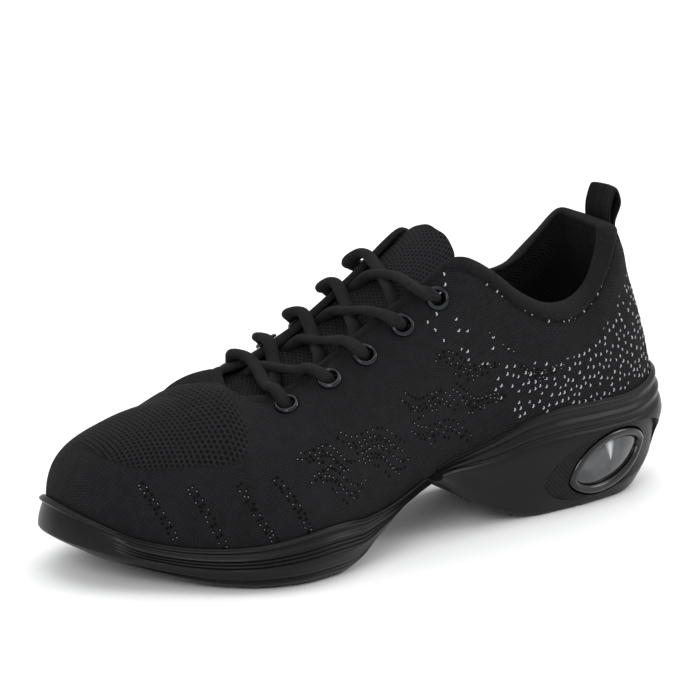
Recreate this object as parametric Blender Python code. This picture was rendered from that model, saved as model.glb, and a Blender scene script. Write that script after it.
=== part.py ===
"""A left dance sneaker with a split sole, as an assembly of separate solids.

Metres, +Z up. The origin is the middle of the heel's flat tread on the floor, +X points to the
toe and +Y to the outer (lateral) side. Places along the shoe are first measured from the back of
the heel, as shares of LENGTH, and moved to the origin when a mesh is made.
"""

import math
from collections import namedtuple

import bmesh
import bpy
import numpy as np

# Driving sizes
LENGTH = 0.267
BALL_WIDTH = 0.0975
HEEL_STACK = 0.031
FOREFOOT_STACK = 0.009
TOE_SPRING = 0.008
COLLAR_RISE = 0.0765
LIP_RISE = 0.018
SOLE_LIP = 0.0032
SOLE_FLARE = 0.006
TREAD_REACH = 0.044
GAP = 0.00035

# Upper, tongue and insole
WALL = 0.0024
COLLAR_PAD = 0.0058
COLLAR_ROLL = 0.0008
WEB_THICKNESS = 0.0015
TONGUE_THICKNESS = 0.0036
TONGUE_CLEARANCE = 0.0004
TONGUE_CROWN = 0.0025
TONGUE_CLOSED_GAP = 0.004
TONGUE_OPEN_GAP = 0.013
INSOLE_THICKNESS = 0.0035
INSOLE_BEVEL = 0.001
INSOLE_CLEARANCE = 0.0006

# Heel windows
WINDOW_HALF_LENGTH = 0.0176
WINDOW_HALF_HEIGHT = 0.0080
WINDOW_TILT = math.radians(16)
WINDOW_ARC = 0.0567
WINDOW_HEIGHT = 0.0172
WINDOW_RIM = 0.0045
WINDOW_ROUND = 0.0010
LENS_THICKNESS = 0.0026
LENS_DOME = 0.0012
RECESS_HALF_LENGTH = 0.0360
RECESS_HALF_HEIGHT = 0.0143
RECESS_TILT = math.radians(6)
RECESS_ARC = 0.0560
RECESS_HEIGHT = 0.0176
RECESS_DEPTH = 0.0034
POCKET_DEPTH = 0.0072
WINDOW_LEAN = 0.10
CUT_REACH = 0.010

# Eyelets and lace
EYELET_HOLE_RADIUS = 0.0028
EYELET_TUBE = 0.0006
EYELET_FLANGE = 0.0016
EYELET_LIFT = 0.0009
EYELET_HEIGHT = 0.0015
LACE_WIDTH = 0.0054
LACE_THICKNESS = 0.0036
LACE_KNEE = 0.0062
LACE_OWN_EDGE = 0.040
LACE_FAR_EDGE = 0.015
LACE_BAR_EDGE = 0.014
LACE_REST = 0.0030
LACE_OVER = 0.0026
LACE_EDGE_LIFT = 0.0051
LACE_POINTS = 9

# Pull loop
LOOP_WIDTH = 0.0155
LOOP_THICKNESS = 0.0014
LOOP_RISE = 0.0150
LOOP_OPENING = 0.0044
LOOP_BEND = 0.0045
LOOP_CLEARANCE = 0.0006
LOOP_HEEL_RADIUS = 0.0135

# Flex grooves
GROOVE_WIDTH = 0.0026
GROOVE_DEPTH = 0.0013

# Plan outline of the sole at its widest, from the back of the heel to the toe tip.
# along: share of LENGTH. across: share of BALL_WIDTH, outwards from the heel's middle line.
PlanPoint = namedtuple("PlanPoint", "along across")
LATERAL_EDGE = [
    PlanPoint(0.000, 0.000),
    PlanPoint(0.012, 0.125),
    PlanPoint(0.040, 0.228),
    PlanPoint(0.085, 0.295),
    PlanPoint(0.160, 0.332),
    PlanPoint(0.260, 0.343),
    PlanPoint(0.360, 0.334),
    PlanPoint(0.440, 0.337),
    PlanPoint(0.520, 0.368),
    PlanPoint(0.600, 0.428),
    PlanPoint(0.670, 0.480),
    PlanPoint(0.730, 0.490),
    PlanPoint(0.790, 0.440),
    PlanPoint(0.850, 0.332),
    PlanPoint(0.905, 0.205),
    PlanPoint(0.955, 0.098),
    PlanPoint(0.988, -0.030),
]
MEDIAL_EDGE = [
    PlanPoint(1.000, -0.165),
    PlanPoint(0.992, -0.290),
    PlanPoint(0.965, -0.390),
    PlanPoint(0.915, -0.455),
    PlanPoint(0.850, -0.492),
    PlanPoint(0.780, -0.503),
    PlanPoint(0.710, -0.500),
    PlanPoint(0.630, -0.462),
    PlanPoint(0.540, -0.400),
    PlanPoint(0.440, -0.340),
    PlanPoint(0.340, -0.315),
    PlanPoint(0.240, -0.320),
    PlanPoint(0.160, -0.325),
    PlanPoint(0.085, -0.292),
    PlanPoint(0.040, -0.226),
    PlanPoint(0.012, -0.124),
]

# Footbed height and the middle line of the upper.
# drop: 1 at the heel seat, 0 at the ball. spring: share of TOE_SPRING. middle: share of BALL_WIDTH.
BedRow = namedtuple("BedRow", "along drop spring middle")
BED = [
    BedRow(0.000, 1.000, 0.00, 0.000),
    BedRow(0.329, 1.000, 0.00, 0.000),
    BedRow(0.409, 0.985, 0.00, 0.000),
    BedRow(0.449, 0.920, 0.00, 0.000),
    BedRow(0.486, 0.795, 0.00, 0.000),
    BedRow(0.516, 0.650, 0.00, 0.000),
    BedRow(0.549, 0.480, 0.00, 0.000),
    BedRow(0.591, 0.286, 0.00, 0.000),
    BedRow(0.629, 0.136, 0.00, -0.004),
    BedRow(0.669, 0.045, 0.00, -0.010),
    BedRow(0.709, 0.008, 0.00, -0.020),
    BedRow(0.789, 0.000, 0.00, -0.042),
    BedRow(0.840, 0.000, 0.08, -0.080),
    BedRow(0.900, 0.000, 0.28, -0.112),
    BedRow(0.950, 0.000, 0.60, -0.142),
    BedRow(1.000, 0.000, 1.00, -0.160),
]

# Underside of each unit and how far its tread edge lies inside the outline.
# under: share of the footbed height there. inset: share of SOLE_FLARE. lip: share of LIP_RISE.
UnderRow = namedtuple("UnderRow", "along under inset lip")
HEEL_UNDER = [
    UnderRow(0.000, 0.150, 1.60, 1.00),
    UnderRow(0.030, 0.090, 1.30, 0.96),
    UnderRow(0.070, 0.020, 1.00, 0.80),
    UnderRow(0.110, 0.000, 0.85, 0.70),
    UnderRow(0.180, 0.000, 0.70, 0.69),
    UnderRow(0.269, 0.000, 0.60, 0.67),
    UnderRow(0.314, 0.060, 0.50, 0.55),
    UnderRow(0.349, 0.165, 0.45, 0.36),
    UnderRow(0.384, 0.310, 0.40, 0.20),
    UnderRow(0.414, 0.485, 0.35, 0.12),
    UnderRow(0.444, 0.700, 0.30, 0.09),
    UnderRow(0.470, 0.880, 0.25, 0.06),
]
FOREFOOT_UNDER = [
    UnderRow(0.499, 0.935, 0.10, 0.04),
    UnderRow(0.524, 0.935, 0.20, 0.06),
    UnderRow(0.549, 0.920, 0.30, 0.11),
    UnderRow(0.568, 0.730, 0.40, 0.17),
    UnderRow(0.591, 0.550, 0.45, 0.27),
    UnderRow(0.621, 0.180, 0.50, 0.41),
    UnderRow(0.643, 0.040, 0.55, 0.54),
    UnderRow(0.669, 0.000, 0.60, 0.63),
    UnderRow(0.729, 0.000, 0.60, 0.62),
    UnderRow(0.789, 0.000, 0.60, 0.48),
    UnderRow(0.839, 0.080, 0.62, 0.38),
    UnderRow(0.899, 0.330, 0.70, 0.34),
    UnderRow(0.930, 0.480, 0.85, 0.38),
    UnderRow(0.970, 0.560, 1.20, 0.55),
    UnderRow(1.000, 0.600, 1.60, 0.70),
]

# Steps and rolls of the sole's side, from the tread edge to the lip.
# height: share of the way up. out: share of SOLE_FLARE from the outline.
SideRow = namedtuple("SideRow", "height out")
HEEL_SIDE = [
    SideRow(0.070, -0.32),
    SideRow(0.200, 0.00),
    SideRow(0.400, 0.16),
    SideRow(0.560, 0.16),
    SideRow(0.700, 0.02),
    SideRow(0.765, -0.20),
    SideRow(0.830, -0.12),
    SideRow(0.895, -0.33),
    SideRow(0.945, -0.25),
    SideRow(1.000, -0.46),
]
FOREFOOT_SIDE = [
    SideRow(0.080, -0.22),
    SideRow(0.200, -0.06),
    SideRow(0.232, -0.17),
    SideRow(0.264, -0.05),
    SideRow(0.480, 0.06),
    SideRow(0.640, 0.00),
    SideRow(0.670, -0.10),
    SideRow(0.700, 0.00),
    SideRow(0.830, -0.16),
    SideRow(1.000, -0.34),
]

# The upper's ribs, from the heel back to the toe tip. Each climbs from the footbed to its top.
# along: foot of the rib. top_along, top_out, top_rise: its top, as shares of LENGTH, BALL_WIDTH and
# COLLAR_RISE above the footbed. tilt: how much the medial top is higher and the lateral one lower, as
# a share of COLLAR_RISE. lean: end slope in degrees. lower, upper: handle lengths as shares
# of the rib's span. bulge: outward push of the foot's handle, share of SOLE_FLARE.
RibRow = namedtuple("RibRow", "along top_along top_out top_rise tilt lean lower upper bulge")
RIBS = [
    RibRow(0.000, 0.102, 0.000, 1.010, 0.000, 70, 0.35, 0.30, 0.05),
    RibRow(0.030, 0.106, 0.100, 1.012, 0.004, 71, 0.35, 0.30, 0.10),
    RibRow(0.080, 0.124, 0.178, 1.010, 0.010, 74, 0.35, 0.30, 0.30),
    RibRow(0.140, 0.154, 0.240, 0.866, 0.018, 80, 0.35, 0.30, 0.40),
    RibRow(0.219, 0.202, 0.278, 0.712, 0.018, 82, 0.35, 0.30, 0.40),
    RibRow(0.284, 0.247, 0.296, 0.690, 0.015, 82, 0.35, 0.30, 0.40),
    RibRow(0.339, 0.282, 0.290, 0.724, 0.018, 78, 0.35, 0.30, 0.40),
    RibRow(0.384, 0.315, 0.272, 0.795, 0.018, 74, 0.35, 0.30, 0.40),
    RibRow(0.419, 0.347, 0.256, 0.888, 0.015, 70, 0.35, 0.30, 0.40),
    RibRow(0.449, 0.378, 0.236, 0.968, 0.015, 66, 0.36, 0.30, 0.45),
    RibRow(0.471, 0.398, 0.215, 1.015, 0.022, 62, 0.37, 0.32, 0.50),
    RibRow(0.491, 0.414, 0.184, 1.028, 0.030, 58, 0.38, 0.32, 0.50),
    RibRow(0.519, 0.433, 0.174, 1.000, 0.035, 54, 0.38, 0.32, 0.50),
    RibRow(0.549, 0.461, 0.166, 0.955, 0.035, 52, 0.40, 0.34, 0.60),
    RibRow(0.584, 0.494, 0.158, 0.920, 0.030, 49, 0.42, 0.36, 0.60),
    RibRow(0.619, 0.528, 0.151, 0.902, 0.024, 45, 0.42, 0.36, 0.60),
    RibRow(0.659, 0.569, 0.140, 0.876, 0.024, 38, 0.44, 0.38, 0.60),
    RibRow(0.699, 0.605, 0.129, 0.846, 0.030, 31, 0.45, 0.38, 0.60),
    RibRow(0.739, 0.649, 0.120, 0.802, 0.038, 25, 0.46, 0.40, 0.60),
    RibRow(0.769, 0.685, 0.114, 0.768, 0.045, 22, 0.46, 0.40, 0.60),
    RibRow(0.789, 0.715, 0.103, 0.760, 0.045, 18, 0.46, 0.40, 0.60),
    RibRow(0.802, 0.738, 0.072, 0.762, 0.036, 12, 0.46, 0.40, 0.60),
    RibRow(0.811, 0.750, 0.000, 0.766, 0.000, 6, 0.46, 0.40, 0.60),
    RibRow(0.844, 0.780, 0.000, 0.758, 0.000, 10, 0.47, 0.40, 0.60),
    RibRow(0.878, 0.814, 0.000, 0.706, 0.000, 10, 0.48, 0.40, 0.60),
    RibRow(0.915, 0.848, 0.000, 0.664, 0.000, 10, 0.50, 0.42, 0.60),
    RibRow(0.950, 0.877, 0.000, 0.620, 0.000, 12, 0.54, 0.44, 0.60),
    RibRow(0.980, 0.898, 0.000, 0.582, 0.000, 14, 0.57, 0.44, 0.60),
    RibRow(1.000, 0.907, 0.000, 0.565, 0.000, 16, 0.58, 0.44, 0.60),
]
THROAT_FRONT = 0.811
THROAT_CORNER = 0.784
COLLAR_FRONT = 0.491
LATERAL, MEDIAL = 1, -1
# Rows of the upper's wall: share of the way up a rib, and outward step as a share of COLLAR_ROLL.
WallRow = namedtuple("WallRow", "share roll")
WALL_ROWS = [
    WallRow(0.000, 0.0),
    WallRow(0.090, 0.0),
    WallRow(0.200, 0.0),
    WallRow(0.330, 0.0),
    WallRow(0.480, 0.0),
    WallRow(0.640, 0.0),
    WallRow(0.790, 0.0),
    WallRow(0.900, 0.0),
    WallRow(0.940, -0.3),
    WallRow(0.956, 0.7),
    WallRow(1.000, 0.5),
]

# Stations along the shoe shared by the upper, the soles and the insole.
END_STATIONS = [(1 - math.cos(math.radians(a))) / 2 for a in (0, 8, 15, 22, 29, 36, 43)]
HEEL_STATIONS = END_STATIONS + [0.175, 0.215, 0.255, 0.295, 0.335, 0.370, 0.400, 0.430, 0.450]
ARCH_STATIONS = [0.463, 0.477, 0.491, 0.509]
FOREFOOT_STATIONS = [0.534, 0.559, 0.585, 0.611, 0.639, 0.669, 0.704, 0.739, 0.769, 0.789, 0.802]
TOE_STATIONS = [0.811, 0.840, 0.870, 0.900] + [1 - s for s in reversed(END_STATIONS) if s < 0.08]
STATIONS = HEEL_STATIONS + ARCH_STATIONS + FOREFOOT_STATIONS + TOE_STATIONS
HEEL_UNIT_STATIONS = HEEL_STATIONS + [0.468]
FOREFOOT_UNIT_STATIONS = [0.489, 0.509] + FOREFOOT_STATIONS + TOE_STATIONS

INSOLE_STATIONS = [s for s in STATIONS if 0.01 < s < 0.99]

# Eyelets from the front (1) to the top (5): the ribs they sit on and the share of the way up.
EyeletRow = namedtuple("EyeletRow", "lateral medial share")
EYELETS = [
    EyeletRow(0.759, 0.757, 0.862),
    EyeletRow(0.697, 0.697, 0.843),
    EyeletRow(0.636, 0.638, 0.836),
    EyeletRow(0.572, 0.578, 0.849),
    EyeletRow(0.506, 0.521, 0.836),
]
# Cross grooves of the tread. under: tread height as a share of the footbed's. skew: degrees.
GrooveRow = namedtuple("GrooveRow", "along under skew")
FOREFOOT_GROOVES = [
    GrooveRow(0.691, 0.0, -6),
    GrooveRow(0.754, 0.0, -4),
    GrooveRow(0.819, 0.05, -2),
    GrooveRow(0.884, 0.29, 0),
]
HEEL_GROOVES = [GrooveRow(0.130, 0.0, 0), GrooveRow(0.200, 0.0, 0)]
# The tongue's rows from the collar to under the vamp: place of its rib, share of its padding, how
# much deeper than usual it lies, as a share of TONGUE_THICKNESS, and its middle's rise above its
# edges, as a share of TONGUE_CROWN (below 0 it sags into the throat).
TongueRow = namedtuple("TongueRow", "along pad sink crown")
TONGUE_ROWS = [
    TongueRow(0.503, 1.00, 0.00, 0.8),
    TongueRow(0.529, 1.00, 0.00, 0.5),
    TongueRow(0.564, 1.00, 0.00, 0.0),
    TongueRow(0.604, 1.00, 0.00, -0.8),
    TongueRow(0.649, 1.00, 0.00, -1.4),
    TongueRow(0.694, 1.00, 0.00, -1.4),
    TongueRow(0.734, 0.90, 0.00, -1.0),
    TongueRow(0.764, 0.80, 0.15, -0.5),
    TongueRow(0.787, 0.70, 0.20, 0.0),
    TongueRow(0.799, 0.65, 0.50, 0.0),
    TongueRow(0.820, 0.60, 0.50, 0.0),
    TongueRow(0.849, 0.40, 0.30, 0.0),
]
# The tongue's free top. reach: distance past its first row. squeeze: share of its width.
TopRow = namedtuple("TopRow", "reach squeeze pad")
TONGUE_TOP = [
    TopRow(0.0028, 0.99, 1.0),
    TopRow(0.0060, 0.96, 0.85),
    TopRow(0.0084, 0.90, 0.35),
]
TONGUE_SIDE_DEPTHS = (0.0135, 0.0085, 0.0035, -0.0005)
TONGUE_EDGE = (0.35, 0.8, 1, 1, 1, 1, 1, 0.8, 0.35)
# Where a run of the lace rests on the tongue. step: share of the way from the rib where it leaves
# its own eyestay to the far one. lift: share of LACE_OVER. across: share of the way from the middle
# to its own side.
LaceStep = namedtuple("LaceStep", "step lift across")
LACE_STEPS = [LaceStep(0.25, 0.6, 1.0), LaceStep(0.50, 1.0, 0.0), LaceStep(0.75, 0.6, -0.7)]
# Distances below the collar's top at which the pull loop's legs lie on the heel.
LOOP_LEG_DEPTHS = (0.016, 0.010, 0.004)


def ease(x):
    """A smooth step from 0 to 1."""
    x = min(max(x, 0.0), 1.0)
    return x * x * (3 - 2 * x)


def column(rows, name):
    """One named column of a table, as an array."""
    return np.array([getattr(row, name) for row in rows], float)


def smooth(at, values, where):
    """A smooth curve through values at the places at, read where asked."""
    at, values = np.asarray(at, float), np.asarray(values, float)
    where = np.asarray(where, float)
    slope = np.gradient(values, at, axis=0)
    low = np.clip(np.searchsorted(at, where) - 1, 0, len(at) - 2)
    step = at[low + 1] - at[low]
    t = (where - at[low]) / step
    if values.ndim > 1:
        t, step = t[..., None], step[..., None]
    start = (1 + 2 * t) * (1 - t) ** 2 * values[low] + t * (1 - t) ** 2 * step * slope[low]
    end = t * t * (3 - 2 * t) * values[low + 1] + t * t * (t - 1) * step * slope[low + 1]
    return start + end


def read(rows, name, along):
    """A table's column at a place along the shoe."""
    return float(smooth(column(rows, "along"), column(rows, name), along))


def dense_outline():
    """Both halves of the plan outline, back to toe, as points and outward normals."""
    table = LATERAL_EDGE + MEDIAL_EDGE
    points = np.array([[p.along * LENGTH, p.across * BALL_WIDTH] for p in table])
    wrapped = np.vstack([points[-4:], points, points[:5]])
    chord = np.concatenate([[0], np.cumsum(np.linalg.norm(np.diff(wrapped, axis=0), axis=1))])
    fine = smooth(chord, wrapped, np.linspace(chord[4], chord[4 + len(points)], 801))[:-1]
    tangent = np.roll(fine, -1, axis=0) - np.roll(fine, 1, axis=0)
    normal = np.stack([-tangent[:, 1], tangent[:, 0]], axis=1)
    normal /= np.linalg.norm(normal, axis=1)[:, None]
    back, tip = int(np.argmin(fine[:, 0])), int(np.argmax(fine[:, 0]))
    order = np.roll(np.arange(len(fine)), -back)
    split = (tip - back) % len(fine)
    lateral = order[: split + 1]
    medial = np.concatenate([order[:1], order[: split - 1 : -1]])
    return {side: (fine[half], normal[half]) for side, half in ((LATERAL, lateral), (MEDIAL, medial))}


OUTLINE = dense_outline()


def plan(side, along, out):
    """The plan point at a station of one side, moved outwards from the outline."""
    points, normals = OUTLINE[side]
    share = (points[:, 0] - points[0, 0]) / (points[-1, 0] - points[0, 0])
    at = np.interp(along, share, np.arange(len(points)))
    place = [np.interp(at, np.arange(len(points)), points[:, k]) for k in (0, 1)]
    normal = np.array([np.interp(at, np.arange(len(points)), normals[:, k]) for k in (0, 1)])
    return np.array(place) + out * normal / np.linalg.norm(normal)


def bed_height(along):
    """Height of the footbed above the floor."""
    drop = read(BED, "drop", along)
    spring = read(BED, "spring", along)
    return FOREFOOT_STACK + (HEEL_STACK - FOREFOOT_STACK) * drop + TOE_SPRING * spring


def middle(along):
    """Sideways place of the upper's middle line."""
    return read(BED, "middle", along) * BALL_WIDTH


def rib_top(side, along):
    """Top end of a rib, on the ridge, the throat edge or the collar."""
    top_along = read(RIBS, "top_along", along)
    in_throat = along < THROAT_FRONT - 1e-6
    out = max(read(RIBS, "top_out", along), 0.0) if in_throat else 0.0
    tilt = max(read(RIBS, "tilt", along), 0.0) if in_throat and along > 0 else 0.0
    rise = (read(RIBS, "top_rise", along) - side * tilt) * COLLAR_RISE
    x = top_along * LENGTH
    return np.array([x, middle(top_along) + side * out * BALL_WIDTH, bed_height(top_along) + rise])


def rib(side, along, shares):
    """Outer points of one rib of the upper, at shares of the way from the footbed to its top."""
    foot = np.append(plan(side, along, -SOLE_LIP - GAP), bed_height(along))
    outward = np.append(plan(side, along, 1.0) - plan(side, along, 0.0), 0.0)
    top = rib_top(side, along)
    span = np.linalg.norm(top - foot)
    inward = np.append((top - foot)[:2], 0.0)
    inward /= np.linalg.norm(inward)
    lean = math.radians(read(RIBS, "lean", along))
    end = inward * math.cos(lean) + np.array([0, 0, math.sin(lean)])
    ridge = ease((along - THROAT_CORNER) / (THROAT_FRONT - THROAT_CORNER))
    if ridge > 0:
        ahead, behind = rib_top(side, min(along + 0.02, 1.0)), rib_top(side, along - 0.02)
        ridge_slope = (ahead[2] - behind[2]) / (ahead[0] - behind[0])
        level = np.array([inward[0], inward[1], inward[0] * ridge_slope])
        end = (1 - ridge) * end + ridge * level / np.linalg.norm(level)
        end /= np.linalg.norm(end)
    push = read(RIBS, "bulge", along) * SOLE_FLARE
    lower = foot + np.array([0, 0, 1]) * span * read(RIBS, "lower", along) + outward * push
    upper = top - end * span * read(RIBS, "upper", along)
    t = np.asarray(shares, float)[:, None]
    return (
        (1 - t) ** 3 * foot + 3 * t * (1 - t) ** 2 * lower + 3 * t * t * (1 - t) * upper + t**3 * top
    )


def upper_grid(stations, shares):
    """Outer points and normals of the upper: one closed ring of ribs, toe, lateral, heel, medial."""
    ring = [(LATERAL, s) for s in reversed(stations)] + [(MEDIAL, s) for s in stations[1:-1]]
    grid = np.array([rib(side, s, shares) for side, s in ring])
    along_ring = np.roll(grid, -1, axis=0) - np.roll(grid, 1, axis=0)
    normal = np.cross(along_ring, np.gradient(grid, axis=1))
    normal[0, -1] = normal[0, -2]
    for i, (side, s) in enumerate(ring):
        if s >= THROAT_FRONT - 1e-6:
            twin = (len(ring) - i) % len(ring)
            together = normal[i, -1] / np.linalg.norm(normal[i, -1])
            together = together + normal[twin, -1] / np.linalg.norm(normal[twin, -1])
            normal[i, -1] = normal[twin, -1] = together
    normal /= np.linalg.norm(normal, axis=2)[:, :, None]
    return ring, grid, normal


def place(points):
    """Moves points measured from the heel's back to the part's origin."""
    moved = np.array(points, float)
    moved[..., 0] -= TREAD_REACH
    return moved


def add_material(obj, colour, roughness, metallic=0.0):
    """Gives an object its own plain material."""
    material = bpy.data.materials.new(obj.name)
    material.use_nodes = True
    shader = material.node_tree.nodes["Principled BSDF"]
    shader.inputs["Base Color"].default_value = (*colour, 1.0)
    shader.inputs["Roughness"].default_value = roughness
    shader.inputs["Metallic"].default_value = metallic
    obj.data.materials.append(material)


def mesh_object(name, points, faces, colour, roughness, metallic=0.0):
    """A closed mesh object from points measured from the heel's back."""
    shape = bmesh.new()
    corners = [shape.verts.new(p) for p in place(points)]
    for face in faces:
        shape.faces.new([corners[i] for i in face])
    bmesh.ops.recalc_face_normals(shape, faces=shape.faces)
    if shape.calc_volume(signed=True) < 0:
        bmesh.ops.reverse_faces(shape, faces=shape.faces)
    data = bpy.data.meshes.new(name)
    shape.to_mesh(data)
    shape.free()
    data.shade_smooth()
    data.set_sharp_from_angle(angle=math.radians(35))
    obj = bpy.data.objects.new(name, data)
    bpy.context.scene.collection.objects.link(obj)
    add_material(obj, colour, roughness, metallic)
    return obj


def wall_thickness(along, share):
    """The upper's wall: padded towards the collar, thin at the throat and the vamp."""
    collar = 1 - ease((along - COLLAR_FRONT + 0.06) / 0.06)
    return WALL + (COLLAR_PAD - WALL) * collar * ease((share - 0.45) / 0.35)


def upper_shell(stations=STATIONS, rows=WALL_ROWS):
    """Outer and inner points, rim points and normals of the upper's wall."""
    shares = [r.share for r in rows]
    ring, outer, normal = upper_grid(stations, shares)
    inner = np.empty_like(outer)
    rim = np.empty((len(ring), 3))
    for i, (side, s) in enumerate(ring):
        collar = 1 - ease((s - COLLAR_FRONT + 0.03) / 0.03)
        thick = np.array([wall_thickness(s, r) for r in shares])
        inner[i] = outer[i] - normal[i] * thick[:, None]
        inner[i, 0] = [*plan(side, s, -SOLE_LIP - GAP - WALL), bed_height(s)]
        if ARCH_STATIONS[0] - 1e-6 <= s <= ARCH_STATIONS[-1] + 1e-6:
            inner[i, 0, 2] += WEB_THICKNESS
        outer[i] += normal[i] * (np.array([r.roll for r in rows]) * COLLAR_ROLL * collar)[:, None]
        end = outer[i, -1] - outer[i, -2]
        end = end / np.linalg.norm(end)
        if s >= THROAT_FRONT - 1e-6:
            end = np.array([-1.0, 0.0, 0.0])
        rim[i] = (outer[i, -1] + inner[i, -1]) / 2 + end * thick[-1] * 0.38
    for i, (side, s) in enumerate(ring):
        twin = (len(ring) - i) % len(ring)
        if side == LATERAL and s >= THROAT_FRONT - 1e-6 and twin != i:
            for row in (outer, inner):
                row[i, -1] = row[twin, -1] = (row[i, -1] + row[twin, -1]) / 2
            rim[i] = rim[twin] = (rim[i] + rim[twin]) / 2
    return ring, outer, inner, rim


class Welder:
    """Collects points and faces, sharing points that lie together."""

    def __init__(self):
        self.points, self.faces, self.known = [], [], {}

    def point(self, p):
        """The number of a point, new or shared."""
        key = tuple(int(round(c * 2e6)) for c in p)
        if key not in self.known:
            self.known[key] = len(self.points)
            self.points.append([float(c) for c in p])
        return self.known[key]

    def face(self, *corners):
        """Adds a face unless its points fall together."""
        numbers = []
        for p in corners:
            n = self.point(p)
            if n not in numbers:
                numbers.append(n)
        if len(numbers) > 2:
            self.faces.append(numbers)

    def strip(self, first, second):
        """Quads between two rows of points."""
        for k in range(len(first) - 1):
            self.face(first[k], first[k + 1], second[k + 1], second[k])

    def cap(self, ring):
        """Fills a ring with a ladder of quads across it."""
        count = len(ring)
        for k in range((count + 1) // 2):
            self.face(ring[k], ring[k + 1], ring[count - k - 1], ring[(count - k) % count])

    def band(self, first, second):
        """Quads between two closed rings of points."""
        for k in range(len(first)):
            n = (k + 1) % len(first)
            self.face(first[k], first[n], second[n], second[k])


def apply_cut(obj, cutter):
    """Takes a cutter away from an object and removes the cutter."""
    cutter.hide_render = True
    cutter.display_type = "WIRE"
    cut = obj.modifiers.new("cut", "BOOLEAN")
    cut.operation = "DIFFERENCE"
    cut.solver = "EXACT"
    cut.object = cutter
    settle(obj)
    bpy.data.objects.remove(cutter, do_unlink=True)


def settle(obj):
    """Makes an object's modifiers part of its mesh, welds it and shades it."""
    graph = bpy.context.evaluated_depsgraph_get()
    data = bpy.data.meshes.new_from_object(obj.evaluated_get(graph), depsgraph=graph)
    obj.modifiers.clear()
    old = obj.data
    obj.data = data
    bpy.data.meshes.remove(old)
    shape = bmesh.new()
    shape.from_mesh(obj.data)
    bmesh.ops.remove_doubles(shape, verts=shape.verts, dist=3e-5)
    bmesh.ops.dissolve_degenerate(shape, edges=shape.edges, dist=3e-5)
    bmesh.ops.triangulate(shape, faces=[f for f in shape.faces if len(f.verts) > 4])
    shape.to_mesh(obj.data)
    shape.free()
    obj.data.shade_smooth()
    obj.data.set_sharp_from_angle(angle=math.radians(35))


def join_solid(obj, other):
    """Adds another solid to an object."""
    union = obj.modifiers.new("join", "BOOLEAN")
    union.operation = "UNION"
    union.solver = "EXACT"
    union.object = other
    settle(obj)
    bpy.data.objects.remove(other, do_unlink=True)


def build_upper():
    """The knit upper: one hollow wall, open at the collar, the throat and above both sole units."""
    ring, outer, inner, rim = upper_shell()
    weld = Welder()
    count = len(ring)
    for i in range(count):
        j = (i + 1) % count
        weld.strip(outer[i], outer[j])
        weld.strip(inner[j], inner[i])
        front = max(ring[i][1], ring[j][1])
        if front <= THROAT_FRONT + 1e-6:
            weld.face(outer[i, -1], outer[j, -1], rim[j], rim[i])
            weld.face(rim[i], rim[j], inner[j, -1], inner[i, -1])
        back = min(ring[i][1], ring[j][1])
        if not (back >= ARCH_STATIONS[0] - 1e-6 and front <= ARCH_STATIONS[-1] + 1e-6):
            weld.face(outer[j, 0], outer[i, 0], inner[i, 0], inner[j, 0])
    number = {key: i for i, key in enumerate(ring)}
    for back, front in zip(ARCH_STATIONS[:-1], ARCH_STATIONS[1:]):
        corners = [number[(LATERAL, back)], number[(LATERAL, front)]]
        corners += [number[(MEDIAL, front)], number[(MEDIAL, back)]]
        weld.face(*[outer[k, 0] for k in corners])
        weld.face(*[inner[k, 0] for k in reversed(corners)])
    for end in (ARCH_STATIONS[0], ARCH_STATIONS[-1]):
        left, right = number[(LATERAL, end)], number[(MEDIAL, end)]
        weld.face(outer[left, 0], outer[right, 0], inner[right, 0], inner[left, 0])
    return mesh_object("upper", weld.points, weld.faces, (0.02, 0.02, 0.023), 0.85)


def upper_at_heights(side, along, heights):
    """Plan points of the upper's outer side at heights above the floor."""
    points = rib(side, along, np.linspace(0, 0.7, 40))
    rising = np.maximum.accumulate(points[:, 2])
    return [np.array([np.interp(z, rising, points[:, k]) for k in (0, 1)]) for z in heights]


def unit_profile(side, along, under_rows, side_rows):
    """One side of a sole unit at a station, from the tread edge over the lip to the footbed."""
    bed = bed_height(along)
    under = max(read(under_rows, "under", along), 0.0) * bed
    inset = read(under_rows, "inset", along) * SOLE_FLARE
    lip = bed + read(under_rows, "lip", along) * LIP_RISE
    base = plan(side, along, 0.0)
    normal = (plan(side, along, 0.01) - base) / 0.01
    points = []
    for height, out in [(0.0, side_rows[0].out - 0.25)] + [(r.height, r.out) for r in side_rows]:
        z = under + height * (lip - under)
        if z > bed:
            at = upper_at_heights(side, along, [z])[0] + normal * (GAP + SOLE_LIP)
        else:
            at = base - normal * inset * (bed - z) / max(bed - under, 1e-6)
        at = at + normal * out * SOLE_FLARE
        points.append([*at, z])
    for z in (lip, (lip + bed) / 2, bed):
        at = upper_at_heights(side, along, [z])[0] + normal * GAP
        points.append([*at, z])
    points.append([*(base - normal * SOLE_LIP), bed - GAP])
    return np.array(points)


def sole_unit(name, stations, under_rows, side_rows, open_back):
    """A cupped sole unit with its footbed, side wall and tread."""
    left = [unit_profile(LATERAL, s, under_rows, side_rows) for s in stations]
    right = [unit_profile(MEDIAL, s, under_rows, side_rows) for s in stations]
    closed = len(stations) - 1 if open_back else 0
    right[closed] = left[closed].copy()
    weld = Welder()
    for k in range(len(stations) - 1):
        weld.strip(left[k], left[k + 1])
        weld.strip(right[k + 1], right[k])
        weld.face(left[k][0], left[k + 1][0], right[k + 1][0], right[k][0])
        weld.face(left[k][-1], right[k][-1], right[k + 1][-1], left[k + 1][-1])
    end = 0 if open_back else len(stations) - 1
    weld.face(*left[end], *right[end][::-1])
    return mesh_object(name, weld.points, weld.faces, (0.012, 0.012, 0.013), 0.42)


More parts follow.
